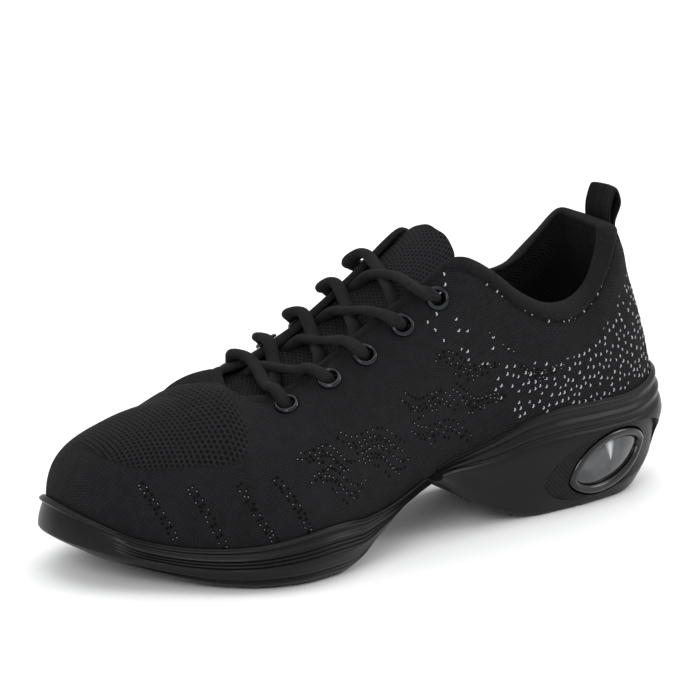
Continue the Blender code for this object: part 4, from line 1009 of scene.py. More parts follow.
@dataclass
class Upper:
    """The knit upper with its rolled collar and lining; the pinholes and specks are built by Trims."""

    stations: int = 200
    rows: int = 84
    roll: float = 0.0040
    roll_height: float = 0.0011
    groove: float = 0.0009
    hole_radius: float = 0.0031
    edge_end: float = 0.146
    arch: tuple[float, float] = (0.463, 0.509)

    def ring(self) -> list[tuple[Side, float]]:
        """List the ribs round the shoe: toe, lateral side, heel, medial side."""
        extra = np.linspace(0.770, THROAT_FRONT, 22)
        shares = np.unique(np.round(np.concatenate([ring_shares(self.stations), extra, self.arch]), 6))
        lateral = [(Side.LATERAL, s) for s in shares[::-1]]
        return lateral + [(Side.MEDIAL, s) for s in shares[1:-1]]

    def surfaces(self) -> tuple:
        """Work out the outer and inner surfaces.

        Returns:
            The ring of ribs, outer points, inner points, rim points, and the flat layout.
        """
        ring = self.ring()
        shares = np.linspace(0, 1, self.rows)
        lateral = np.array([s for side, s in ring if side is Side.LATERAL])
        medial = np.array([s for side, s in ring if side is Side.MEDIAL])
        outer = np.vstack([LAST.ribs(Side.LATERAL, lateral, shares), LAST.ribs(Side.MEDIAL, medial, shares)])
        round_ring = np.roll(outer, -1, axis=0) - np.roll(outer, 1, axis=0)
        normal = np.cross(round_ring, np.gradient(outer, axis=1))
        normal[0, -1] = normal[0, -2]
        normal = unit(normal)
        for i, (side, station) in enumerate(ring):
            twin = (len(ring) - i) % len(ring)
            if side is Side.LATERAL and station >= THROAT_FRONT - 1e-6 and twin != i:
                together = unit(normal[i, -1] + normal[twin, -1])
                normal[i, -1] = normal[twin, -1] = together
        stations = np.array([s for _, s in ring])
        length = np.array([run_length(line) for line in outer])
        below = length[:, -1:] - length
        collar = 1 - ease((stations - COLLAR_FRONT + 0.03) / 0.03)
        edge = (0.45 + 0.55 * collar) * (1 - ease((stations - THROAT_FRONT + 0.022) / 0.016))
        rolled = np.sqrt(np.clip(1 - (2 * below / self.roll - 1) ** 2, 0, 1))
        sunk = np.exp(-(((below - self.roll - 0.0006) / 0.0007) ** 2))
        step = edge[:, None] * (self.roll_height * rolled - self.groove * sunk)
        pad = np.exp(-(((below - 0.011) / 0.007) ** 2)) * collar[:, None] * 0.0012
        thick = np.array([LAST.wall_thickness(s, shares) for s in stations])
        inner = outer - normal * thick[..., None]
        outer = outer + normal * (step + pad)[..., None]
        ends = unit(outer[:, -1] - outer[:, -3])
        tip = np.abs(stations - THROAT_FRONT) < 1e-6
        ends[tip] = np.array([-1.0, 0.0, 0.0])
        rim = self.rim(outer[:, -1], inner[:, -1], ends, thick[:, -1])
        centre = int(np.argmin(np.abs(lateral - 0.42)))
        around = np.concatenate([[outer[0] * 0], np.diff(outer, axis=0)])
        arc = np.cumsum(np.linalg.norm(around, axis=2), axis=0)
        layout = np.stack([arc - arc[centre], below], axis=-1)
        return ring, outer, inner, rim, layout

    def rim(self, outer: np.ndarray, inner: np.ndarray, ends: np.ndarray, thick: np.ndarray) -> np.ndarray:
        """Round the top edge from the outer to the inner side.

        Args:
            outer: Top points of the outer side.
            inner: Top points of the inner side.
            ends: The direction of the ribs at their tops.
            thick: The wall there.

        Returns:
            Points across the rim, outer first.
        """
        middle, half = (outer + inner) / 2, (outer - inner) / 2
        rise = ends * (thick * 0.42)[:, None]
        turns = np.linspace(0, math.pi, 11)
        return np.stack([middle + half * math.cos(a) + rise * math.sin(a) for a in turns], 1)

    def build(self) -> bpy.types.Object:
        """Build the upper with its lining and the cloth under the arch."""
        ring, outer, inner, rim, layout = self.surfaces()
        count = len(ring)
        open_top = [max(ring[i][1], ring[(i + 1) % count][1]) <= THROAT_FRONT + 1e-6 for i in range(count)]
        mesh = Mesh("knit_upper")
        closing = np.concatenate([layout, layout[-1:] + [[[0.001, 0.0]]]])
        mesh.grid(outer, closing, 0, wrap_rows=True)
        mesh.grid(inner, closing, 2, wrap_rows=True)
        for i in range(count):
            j = (i + 1) % count
            if open_top[i]:
                flat = np.stack([closing[[i, i + 1], -1], closing[[i, i + 1], -1] - [0, 0.006]], 1)
                flat = np.linspace(flat[:, 0], flat[:, 1], rim.shape[1], axis=1)
                mesh.grid(rim[[i, j]], flat, 1)
        station = {key: k for k, key in enumerate(ring)}
        low, high = self.arch[0] - 1e-6, self.arch[1] + 1e-6
        inside = [s for side, s in ring if side is Side.LATERAL and low <= s <= high]
        for rows, lift in ((outer, 0.0), (inner, LAST.web)):
            web = np.array([[rows[station[(side, s)], 0] for side in Side] for s in inside])
            web = np.linspace(web[:, 0], web[:, 1], 12, axis=1) + [0, 0, lift]
            mesh.grid(web, web[..., :2], 0)
        self.open_holes(mesh)
        piece = mesh.build([KNIT.material(), COLLAR.material(), LINING.material()], sharp=75)
        self.mark_edge(piece)
        return attach(piece, "knit_upper", "upper")

    def mark_edge(self, piece: bpy.types.Object) -> None:
        """Give the rolled edge its own cloth, by its distance from the top."""
        flat = piece.data.uv_layers["flat"].data
        for polygon in piece.data.polygons:
            if polygon.material_index == 0 and len(polygon.vertices) == 4:
                below = max(flat[k].uv[1] for k in polygon.loop_indices)
                if 0 <= below < self.roll + 0.0003 and polygon.center.x < self.edge_end:
                    polygon.material_index = 1

    def open_holes(self, mesh: Mesh) -> None:
        """Leave out the faces inside the eyelets."""
        points = np.array(mesh.points)
        centres = np.array([points[face].mean(axis=0) for face in mesh.faces])
        keep = np.ones(len(mesh.faces), bool)
        for frame_point, axis, _ in EYELETS.places().values():
            away = centres - frame_point
            level = away @ axis
            radius = np.linalg.norm(away - level[:, None] * axis, axis=1)
            keep &= ~((radius < self.hole_radius) & (np.abs(level) < 0.006))
        corners = [mesh.layout[4 * k : 4 * k + 4] for k in range(len(mesh.faces))]
        mesh.layout = [c for k, four in enumerate(corners) if keep[k] for c in four]
        mesh.slots = [s for k, s in enumerate(mesh.slots) if keep[k]]
        mesh.faces = [f for k, f in enumerate(mesh.faces) if keep[k]]


def on_upper(side: Side, along: float, share: float) -> tuple[np.ndarray, np.ndarray, np.ndarray]:
    """Find a place on the upper's outer side.

    Args:
        side: The side of the shoe.
        along: Station of the rib, from 0 at the heel to 1 at the toe.
        share: Place up the rib.

    Returns:
        The point, the outward direction and the direction towards the toe.
    """
    at = np.clip([along - 0.006, along, along + 0.006], 0.0, 1.0)
    lines = LAST.ribs(side, at, np.clip([share - 0.01, share, share + 0.01], 0, 1))
    forward = unit(lines[2, 1] - lines[0, 1])
    out = unit(np.cross(forward, lines[1, 2] - lines[1, 0]) * -side.value)
    return lines[1, 1], out, forward


@dataclass
class Eyelets:
    """Ring eyelets down both sides of the throat, 1 at the front."""

    rows: Sequence[EyeletRow] = tuple(table(
        EyeletRow, (0.759, 0.757, 0.862), (0.697, 0.697, 0.843), (0.636, 0.638, 0.836),
        (0.572, 0.578, 0.849), (0.506, 0.521, 0.836),
    ))
    hole: float = 0.00285
    flange: float = 0.0047
    height: float = 0.0016
    found: dict = field(default_factory=dict)

    def station(self, side: Side, number: int) -> float:
        """Name the rib that an eyelet sits on."""
        row = self.rows[number - 1]
        return row.lateral if side is Side.LATERAL else row.medial

    def places(self) -> dict:
        """Find each eyelet's middle, outward direction and way up to the throat edge."""
        if not self.found:
            for side in Side:
                for number, row in enumerate(self.rows, start=1):
                    along = self.station(side, number)
                    line = LAST.ribs(side, np.array([along]), np.linspace(0, 1, 41))[0]
                    below = run_length(line)[-1] * (1 - row.share)
                    self.found[(side, number)] = LAST.wall_point(side, along, below, 0.0)
        return self.found

    def build(self) -> list[bpy.types.Object]:
        """Turn the ten rings."""
        profile = [
            (self.hole, -0.0024),
            (self.hole, 0.0004),
            (self.hole + 0.00012, 0.0010),
            (self.hole + 0.0004, 0.00142),
            (self.hole + 0.0008, self.height),
            (self.hole + 0.0012, 0.00152),
            (self.flange - 0.00025, 0.0012),
            (self.flange, 0.0008),
            (self.flange, 0.0003),
            (self.flange - 0.0005, 0.0001),
            (self.hole + 0.0004, 0.0001),
            (self.hole + 0.0004, -0.0024),
        ]
        metal = METAL.material()
        flat = flat_grid(np.linspace(0, 0.03, 49), np.linspace(0, 0.012, 13))
        pieces = []
        for (side, number), (middle, axis, way) in self.places().items():
            across = unit(np.cross(axis, way))
            rows = []
            for k in range(48):
                a = 2 * math.pi * k / 48
                arm = math.cos(a) * way + math.sin(a) * across
                rows.append([middle + arm * r + axis * h for r, h in profile])
            mesh = Mesh(f"eyelet_ring_{side.name.lower()}_{number}")
            mesh.grid(np.array(rows), flat, 0, wrap_rows=True, wrap=True)
            piece = mesh.build([metal], sharp=50)
            pieces.append(attach(piece, "eyelet_metal", f"eyelet_{side.name.lower()}_{number}"))
        return pieces


@dataclass
class Lace:
    """An oval lace: a straight bar at the front and crossed runs over both eyestays."""

    width: float = 0.0056
    thick: float = 0.0038
    rest: float = 0.0026
    hump: float = 0.0028
    own_edge: float = 0.042
    own_step: float = 0.005
    under_edge: float = 0.040
    far_edge: float = 0.015
    bar_edge: float = 0.018
    bar_over: float = 0.0025
    over_edge: float = 0.0030

    def sink(self, place: tuple, goal: np.ndarray) -> list[np.ndarray]:
        """List points from inside an eyelet up and over its ring, towards a goal."""
        middle, axis, _ = place
        heading = goal - middle
        way = unit(heading - axis * np.dot(heading, axis))
        return [
            middle - axis * 0.0048 + way * 0.0002,
            middle - axis * 0.0006 + way * 0.0010,
            middle + axis * 0.0020 + way * 0.0036,
            middle + axis * 0.0034 + way * 0.0080,
        ]

    def bar(self) -> list[np.ndarray]:
        """List the points of the straight run between the lowest eyelets."""
        near, far = (EYELETS.places()[(side, 1)] for side in Side)
        stations = [EYELETS.station(side, 1) + self.bar_edge for side in Side]
        edges = [LAST.wall_point(side, s, 0.0, -self.bar_over)[0] for side, s in zip(Side, stations)]
        return self.sink(near, far[0]) + edges + self.sink(far, near[0])[::-1]

    def run(self, side: Side, number: int) -> list[np.ndarray]:
        """List a run's points: out of its eyelet, over the throat and under the other eyestay.

        Args:
            side: The side whose eyelet the run ends in.
            number: Its eyelet.

        Returns:
            The points of its middle line.
        """
        other = Side(-side.value)
        reach = self.own_edge + self.own_step * (number - 2) if side is Side.LATERAL else self.under_edge
        own = EYELETS.station(side, number) + reach
        far = EYELETS.station(other, number - 1) + self.far_edge
        goal = EYELETS.places()[(other, number - 1)][0]
        points = self.sink(EYELETS.places()[(side, number)], goal)
        points.append(LAST.wall_point(side, own, 0.0, -self.over_edge)[0])
        over = self.hump if side is Side.LATERAL else 0.0
        for step, lift, across in ((0.25, 1.0, 1.0), (0.50, 1.0, 0.0), (0.75, 0.6, -0.9)):
            line = TONGUE.line(own + (far - own) * step)
            beside = line[4 + side.value] if across > 0 else line[4 - side.value]
            point = line[4] + (beside - line[4]) * abs(across)
            points.append(point + np.array([0.0010, 0, self.rest + over * lift]))
        edge = LAST.wall_point(other, far, 0.0, 0.0)[0]
        inward = np.array([0.0, side.value, 0.0])
        points.append(edge + inward * 0.0010 + np.array([0, 0, -0.0058]))
        points.append(edge - inward * 0.0050 + np.array([0, 0, -0.0080]))
        return points

    def build(self) -> list[bpy.types.Object]:
        """Build the bar and the four crossings."""
        braid = BRAID.material()
        routes = {"lace_front": [self.bar()]}
        for number in range(2, 6):
            routes[f"lace_run_{number - 1}"] = [self.run(side, number) for side in Side]
        pieces = []
        for name, paths in routes.items():
            mesh = Mesh(name)
            for points in paths:
                path = smooth_path(points, 72)
                run = unit(np.gradient(path, axis=0))
                ups = np.cross(run, [1.0, 0.0, 0.25])
                ups *= np.where(ups[:, 2:] < 0, -1, 1)
                ends = np.minimum(run_length(path), 0.004) / 0.004
                width = self.width * (0.86 + 0.14 * ends)
                tube(mesh, path, self.steady(ups), width, self.thick + (1 - ends) * 0.0006, 20)
            node = "lace_bar" if name == "lace_front" else f"lace_cross_{name[-1]}"
            pieces.append(attach(mesh.build([braid], sharp=80), "lace", node))
        return pieces

    def steady(self, ups: np.ndarray) -> np.ndarray:
        """Keep a run's thin way from flipping over."""
        steady = ups.copy()
        for k in range(1, len(steady)):
            if np.dot(steady[k], steady[k - 1]) < 0:
                steady[k] *= -1
        return unit(steady)


@dataclass
class Tongue:
    """The padded mesh tongue under the lace, with a rounded top."""

    columns: tuple[float, ...] = (0.0135, 0.0085, 0.0035, -0.0005)
    rows: Sequence[TongueRow] = tuple(table(
        TongueRow, (0.503, 1.0, 0.0, 0.8), (0.529, 1.0, 0.0, 0.5), (0.564, 1.0, 0.0, 0.0),
        (0.604, 1.0, 0.0, -0.8), (0.649, 1.0, 0.0, -1.4), (0.694, 1.0, 0.0, -1.4),
        (0.734, 0.9, 0.0, -1.0), (0.764, 0.8, 0.15, -0.5), (0.787, 0.7, 0.2, 0.0),
        (0.799, 0.65, 0.5, 0.0), (0.820, 0.6, 0.5, 0.0), (0.849, 0.4, 0.3, 0.0),
    ))
    reach: tuple[tuple[float, float, float], ...] = (
        (0.0028, 0.99, 1.0), (0.0060, 0.96, 0.85), (0.0084, 0.90, 0.35),
    )
    edge: tuple[float, ...] = (0.35, 0.8, 1.0, 1.0, 1.0, 1.0, 1.0, 0.8, 0.35)
    depth: float = 0.00315
    thick: float = 0.0036
    crown: float = 0.0025

    def read(self, name: str, along: float) -> float:
        """Read a column of the rows at a station."""
        return float(LAST.read(self.rows, name, along))

    def line(self, along: float) -> np.ndarray:
        """Place nine points across the tongue at one station."""
        depth = self.depth + max(self.read("sink", along), 0.0) * self.thick
        top = {side: [LAST.wall_point(side, along, d, depth)[0] for d in self.columns] for side in Side}
        left, right = top[Side.LATERAL], top[Side.MEDIAL]
        crown = (left[-1] + right[-1]) / 2
        width = float(np.linalg.norm(left[-1] - right[-1]))
        if width < 0.004:
            middle = [0.75 * right[-2] + 0.25 * crown, crown, 0.75 * left[-2] + 0.25 * crown]
        else:
            opening = float(ease((width - 0.004) / 0.013))
            lift = np.array([0, 0, self.crown * self.read("crown", along) * opening])
            crown = crown + lift
            middle = [0.5 * crown + 0.5 * end + 0.2 * lift for end in (right[-1], left[-1])]
            middle.insert(1, crown)
        return np.array(right[:-1] + middle + left[-2::-1])

    def sections(self) -> tuple[np.ndarray, np.ndarray]:
        """Lay out the rough rows and their padding."""
        lines = [self.line(row.along) for row in self.rows]
        pads = [row.pad for row in self.rows]
        last, run = lines[0], unit(lines[0][4] - lines[1][4])
        for reach, squeeze, pad in self.reach:
            lines.insert(0, last[4] + (last - last[4]) * squeeze + run * reach)
            pads.insert(0, pad)
        return np.array(lines), np.array(pads)

    def build(self) -> bpy.types.Object:
        """Round the rough rows into a padded sheet with two faces."""
        lines, pads = self.sections()
        down = np.linspace(0, len(lines) - 1, 110)
        over = np.linspace(0, 8, 72)
        grid = smooth(range(len(lines)), lines.reshape(len(lines), -1), down).reshape(len(down), 9, 3)
        turned = np.swapaxes(grid, 0, 1).reshape(9, -1)
        grid = np.swapaxes(smooth(range(9), turned, over).reshape(72, 110, 3), 0, 1)
        normal = unit(np.cross(np.gradient(grid, axis=1), np.gradient(grid, axis=0)))
        if normal[55, 36, 2] < 0:
            normal = -normal
        pad = np.interp(down, np.arange(len(pads)), pads)
        rounded = np.minimum(1.0, np.sqrt(np.clip(down / 1.2, 0.02, 1.0)))
        side = np.interp(over, range(9), self.edge)
        thick = (self.thick * pad * rounded)[:, None] * side
        lower = grid - normal * thick[..., None]
        layout = flat_grid(run_length(grid[:, 36]), run_length(grid[55]))
        mesh = Mesh("padded_tongue")
        mesh.grid(grid, layout, 0)
        mesh.grid(lower, layout, 1)
        mesh.edges(grid, lower, layout, 0)
        piece = mesh.build([AIR_MESH.material(), LINING.material()], sharp=80)
        attach(piece, "knit_tongue", "tongue")
        return piece


@dataclass
class Insole:
    """The cloth-topped insole with a low rim round the heel."""

    thick: float = 0.0035
    cup: float = 0.0022

    def build(self) -> bpy.types.Object:
        """Build the insole as one closed sheet."""
        stations = np.linspace(0.012, 0.988, 120)
        shrink = LAST.sole_lip + 2 * LAST.gap + LAST.wall + 0.0009
        bed = LAST.bed_height(stations)
        edges = {side: LAST.plan(side, stations, np.full(len(stations), -shrink)) for side in Side}
        across = np.linspace(0, 1, 40)
        width = (edges[Side.LATERAL] - edges[Side.MEDIAL])[:, None]
        flat = edges[Side.MEDIAL][:, None] + width * across[:, None]
        rise = self.cup * (2 * across - 1) ** 6 * (1 - ease((stations - 0.1) / 0.5))[:, None]
        top = np.concatenate([flat, (bed[:, None] + LAST.web + LAST.gap + self.thick + rise)[..., None]], -1)
        low = np.concatenate([flat, (bed[:, None] + LAST.web + LAST.gap + 0 * rise)[..., None]], -1)
        mesh = Mesh("cloth_insole")
        mesh.grid(top, flat, 0)
        mesh.grid(low, flat, 1)
        mesh.edges(top, low, flat, 1)
        return attach(mesh.build([SOCK_CLOTH.material(), LINING.material()], sharp=50), "insole", "insole")


@dataclass
class PullLoop:
    """The ribbed webbing loop at the back of the collar."""

    width: float = 0.0155
    thick: float = 0.0013
    rise: float = 0.0150
    opening: float = 0.0044
    bend: float = 0.0045
    clear: float = 0.0006
    wrap: float = 1 / (2 * 0.0135)

    def build(self) -> bpy.types.Object:
        """Sweep the webbing behind the collar, both legs outside, and wrap it round the heel."""
        legs = []
        out = 0.0008 + LAST.gap + self.clear + self.thick / 2
        for away in (out, out + self.clear + self.thick):
            leg = [LAST.wall_point(Side.LATERAL, 0.0, d, -away)[0] for d in (0.016, 0.010, 0.004)]
            legs.append([np.array([p[0], 0.0, p[2]]) for p in leg])
        front, high = legs[0][-1][0], legs[0][-1][2] + self.rise
        top = [
            np.array([front, 0.0, high - self.bend]),
            np.array([front - self.opening / 2, 0.0, high]),
            np.array([front - self.opening, 0.0, high - self.bend]),
        ]
        line = smooth_path(legs[0] + top + legs[1][::-1], 70)
        centre = np.array([front - self.opening / 2, 0.0, high - self.bend])
        level = [[1.0 if number < 35 else -1.0, 0, 0] for number in range(len(line))]
        ups = [point - centre if point[2] > centre[2] else flat for point, flat in zip(line, level)]
        mesh = Mesh("webbing_loop")
        tube(mesh, line, np.array(ups), self.width, self.thick, 44, 7.0)
        for p in mesh.points:
            p[0] += self.wrap * p[1] ** 2
        return attach(mesh.build([WEBBING.material()], sharp=60), "webbing", "pull_loop")


@dataclass
class SoleUnit:
    """One half of the split sole: a cup with a stepped side, a tread and cross grooves."""

    name: str
    node: str
    under: Sequence[UnderRow]
    side: Sequence[SideRow]
    first: float
    last: float
    grooves: Sequence[tuple[float, float, float]]
    windows: bool = False
    bumper: bool = False
    groove_width: float = 0.0026
    groove_depth: float = 0.0013

    def stations(self) -> np.ndarray:
        """Space stations, closer together round the heel's back or the toe."""
        turn = np.linspace(0, math.pi / 2, 110)
        if self.bumper:
            return self.first + (self.last - self.first) * np.sin(turn)
        return self.first + (self.last - self.first) * (1 - np.cos(turn))

    def heights(self) -> np.ndarray:
        """Split every step of the side's table into three."""
        rows = column(self.side, "height")
        return np.unique(np.concatenate([np.linspace(a, b, 4) for a, b in zip(rows, rows[1:])]).round(6))

    def profile(self, side: Side, along: float) -> np.ndarray:
        """Trace the side at a station, from the tread edge over the lip to the footbed.

        Args:
            side: The side of the shoe.
            along: The station.

        Returns:
            The points.
        """
        bed = float(LAST.bed_height(along))
        under = max(float(LAST.read(self.under, "under", along)), 0.0) * bed
        inset = float(LAST.read(self.under, "inset", along)) * LAST.sole_flare
        lip = bed + float(LAST.read(self.under, "lip", along)) * LAST.lip_rise
        base = LAST.plan(side, along, np.array(0.0))
        normal = (LAST.plan(side, along, np.array(0.01)) - base) / 0.01
        heights = self.heights()
        out = smooth(column(self.side, "height"), column(self.side, "out"), heights)
        if self.bumper:
            plain = -0.47 + 0.55 * np.sin(math.pi * np.clip(heights, 0, 1) ** 0.6) - 0.05 * heights
            share = float(ease((along - 0.915) / 0.045))
            out = out * (1 - share) + np.where(heights < 0.90, np.maximum(plain, -0.47), out) * share
        z = under + heights * (lip - under)
        line = LAST.ribs(side, np.array([along]), np.linspace(0, 0.7, 60))[0]
        rising = np.maximum.accumulate(line[:, 2])
        upper = np.stack([np.interp(z, rising, line[:, k]) for k in (0, 1)], 1)
        cup = upper + normal * (LAST.gap + LAST.sole_lip)
        wall = base - normal * inset * ((bed - z) / max(bed - under, 1e-6))[:, None]
        at = np.where((z > bed)[:, None], cup, wall) + normal * out[:, None] * LAST.sole_flare
        points = np.column_stack([at, z])
        edge = base - normal * (inset - (self.side[0].out - 0.25) * LAST.sole_flare)
        top = []
        width = float(np.linalg.norm(at[-1] - upper[-1])) - LAST.gap
        for a in np.radians([30, 60, 90, 120, 150]):
            share = (1 - math.cos(a)) / 2
            top.append([*(at[-1] - normal * width * share), lip + 0.0004 * math.sin(a)])
        for z_in in np.linspace(lip, bed, 6):
            top.append([*[np.interp(z_in, rising, line[:, k]) + normal[k] * LAST.gap for k in (0, 1)], z_in])
        top.append([*(base - normal * LAST.sole_lip), bed - LAST.gap])
        return np.vstack([[[*edge, under]], points, top])

    def build(self) -> bpy.types.Object:
        """Build the unit, with its grooves and its window recesses cut."""
        stations = self.stations()
        left = np.array([self.profile(Side.LATERAL, s) for s in stations])
        right = np.array([self.profile(Side.MEDIAL, s) for s in stations])
        closed = -1 if self.bumper else 0
        right[closed] = left[closed]
        mesh = Mesh(self.name)
        layout = flat_grid(run_length(left[:, 20]), run_length(left[60]))
        mesh.grid(left, layout, 0)
        mesh.grid(right, layout, 0)
        for row, slot in ((0, 1), (-1, 0)):
            share = np.linspace(0, 1, 15)[:, None]
            floor = left[:, row][:, None] + (right[:, row] - left[:, row])[:, None] * share
            mesh.grid(floor, floor[..., :2], slot)
        end = 0 if self.bumper else -1
        mesh.plate(np.vstack([left[end], right[end][::-1]]), 0)
        piece = mesh.build([RUBBER.material(), TREAD.material(), HATCH.material()], sharp=42)
        if self.windows:
            for side in Side:
                cut_away(piece, HeelWindow(side).recess_cutter())
                cut_away(piece, HeelWindow(side).pocket_cutter())
        for along, share, skew in self.grooves:
            cut_away(piece, self.groove(along, share, skew))
        return attach(piece, "sole_rubber", self.node)

    def groove(self, along: float, share: float, skew: float) -> bpy.types.Object:
        """Make the cutter of one cross groove.

        Args:
            along: Its place, as a share of the length.
            share: The tread's height there, as a share of the footbed's.
            skew: Its turn in degrees.

        Returns:
            The cutter.
        """
        x, reach, half = along * LAST.length, LAST.ball_width, self.groove_width / 2
        depth = float(LAST.bed_height(along)) * share + self.groove_depth
        lean = math.tan(math.radians(skew)) * reach
        rings = []
        for y in (-1, 1):
            rings.append([[x + lean * y + u, reach * y, v] for u, v in self.groove_shape(half, depth)])
        mesh = Mesh("groove")
        mesh.grid(np.array(rings), np.zeros((2, 7, 2)), 0, wrap=True)
        for ring in rings:
            mesh.plate(ring, 0)
        return mesh.build([])

    def groove_shape(self, half: float, depth: float) -> list[tuple[float, float]]:
        """Outline a groove with a rounded roof."""
        return [
            (-half, -0.02), (half, -0.02), (half, depth - half), (half * 0.6, depth - 0.2 * half),
            (-half * 0.6, depth - 0.2 * half), (-half, depth - half),
        ]


@dataclass
class HeelWindow:
    """An eye-shaped window in the heel: a thick dark ring round a clear, silvery lens with a painted band of
    reflection.
    """

    side: Side
    half_length: float = 0.0176
    half_height: float = 0.0080
    tilt: float = math.radians(16)
    arc: float = 0.0567
    height: float = 0.0172
    rim: float = 0.0045
    pocket: float = 0.0072
    lean: float = 0.10
    lens_thick: float = 0.0026
    recess_size: tuple[float, float] = (0.0360, 0.0143)
    recess_place: tuple[float, float] = (0.0560, 0.0176)
    recess_tilt: float = math.radians(6)
    recess_depth: float = 0.0034

    def eye(
        self, place: tuple[float, float], size: tuple[float, float], tilt: float, out: float,
        point: float = 0.3, scale: float = 1.0,
    ) -> list[list[float]]:
        """Lay an eye shape on the heel's side.

        Args:
            place: Its middle, round the outline and up.
            size: Half its length and half its height.
            tilt: Its turn in radians.
            out: Distance outwards from the sole's outline.
            point: Sharpness of its ends.
            scale: Scale about its middle.

        Returns:
            Points round the eye.
        """
        points = []
        for k in range(96):
            a = 2 * math.pi * k / 96
            u = size[0] * math.cos(a)
            v = size[1] * math.sin(a) * abs(math.sin(a)) ** point
            along = u * math.cos(tilt) + v * math.sin(tilt)
            up = v * math.cos(tilt) - u * math.sin(tilt)
            level = place[1] + up * scale
            outward = out + self.lean * (level - self.height)
            points.append(LAST.side_point(self.side, place[0] + along * scale, level, outward))
        return points

    def ring(self, grow: float, out: float, scale: float = 1.0) -> list[list[float]]:
        """Lay the window's eye on the heel, grown by a distance."""
        size = (self.half_length + grow, self.half_height + grow)
        return self.eye((self.arc, self.height), size, self.tilt, out, scale=scale)

    def cutter(self, rings: list, slot: int) -> bpy.types.Object:
        """Make a cutter between two rings of points."""
        mesh = Mesh("recess")
        mesh.grid(np.array(rings), np.zeros((2, 97, 2)), slot, wrap=True)
        for ring in rings:
            mesh.fan(ring, slot)
        return mesh.build([None, None, None])

    def recess_cutter(self) -> bpy.types.Object:
        """Make the cutter of the shallow recess round the window."""
        shape = (self.recess_place, self.recess_size, self.recess_tilt)
        return self.cutter([self.eye(*shape, out, 0.1) for out in (-self.recess_depth, 0.010)], 2)

    def pocket_cutter(self) -> bpy.types.Object:
        """Make the cutter of the ring's pocket."""
        return self.cutter([self.ring(self.rim, out) for out in (-self.pocket, 0.010)], 0)

    def build(self) -> list[bpy.types.Object]:
        """Build the ring and the lens."""
        word = self.side.name.lower()
        rim = self.rim - 1.5 * LAST.gap
        back = -self.pocket + LAST.gap
        steps = [(rim, back), (rim, -0.0044)]
        for a in np.radians(np.arange(0, 181, 15)):
            steps.append((0.5 * rim + 0.5 * rim * math.cos(a), -0.0042 + 0.0018 * math.sin(a)))
        steps += [(-0.0002, -0.0050), (0.0, back)]
        rows = np.array([self.ring(grow, out) for grow, out in steps])
        mesh = Mesh(f"window_ring_{word}")
        flat = flat_grid(np.linspace(0, 0.02, len(rows)), np.linspace(0, 0.09, 97))
        mesh.grid(rows, np.concatenate([flat, flat[:1]]), 0, wrap_rows=True, wrap=True)
        ring = attach(mesh.build([WINDOW_RING.material()], sharp=50), "window_frame", f"window_frame_{word}")
        front = back + self.lens_thick
        levels = [(1.0, back), (1.0, front)]
        levels += [(1 - t, front + 0.0013 * (1 - (1 - t) ** 2)) for t in np.linspace(0.06, 0.94, 14)]
        rows = np.array([self.ring(-LAST.gap, out, scale) for scale, out in levels])
        mesh = Mesh(f"window_lens_{word}")
        flat = flat_grid(np.linspace(0, 0.01, len(rows)), np.linspace(0, 0.09, 97))
        mesh.grid(rows, flat, 0, wrap=True)
        mesh.fan(rows[0], 0)
        mesh.fan(rows[-1], 0)
        lens = attach(mesh.build([LENS.material()], sharp=60), "window_lens", f"window_lens_{word}")
        return [ring, lens]


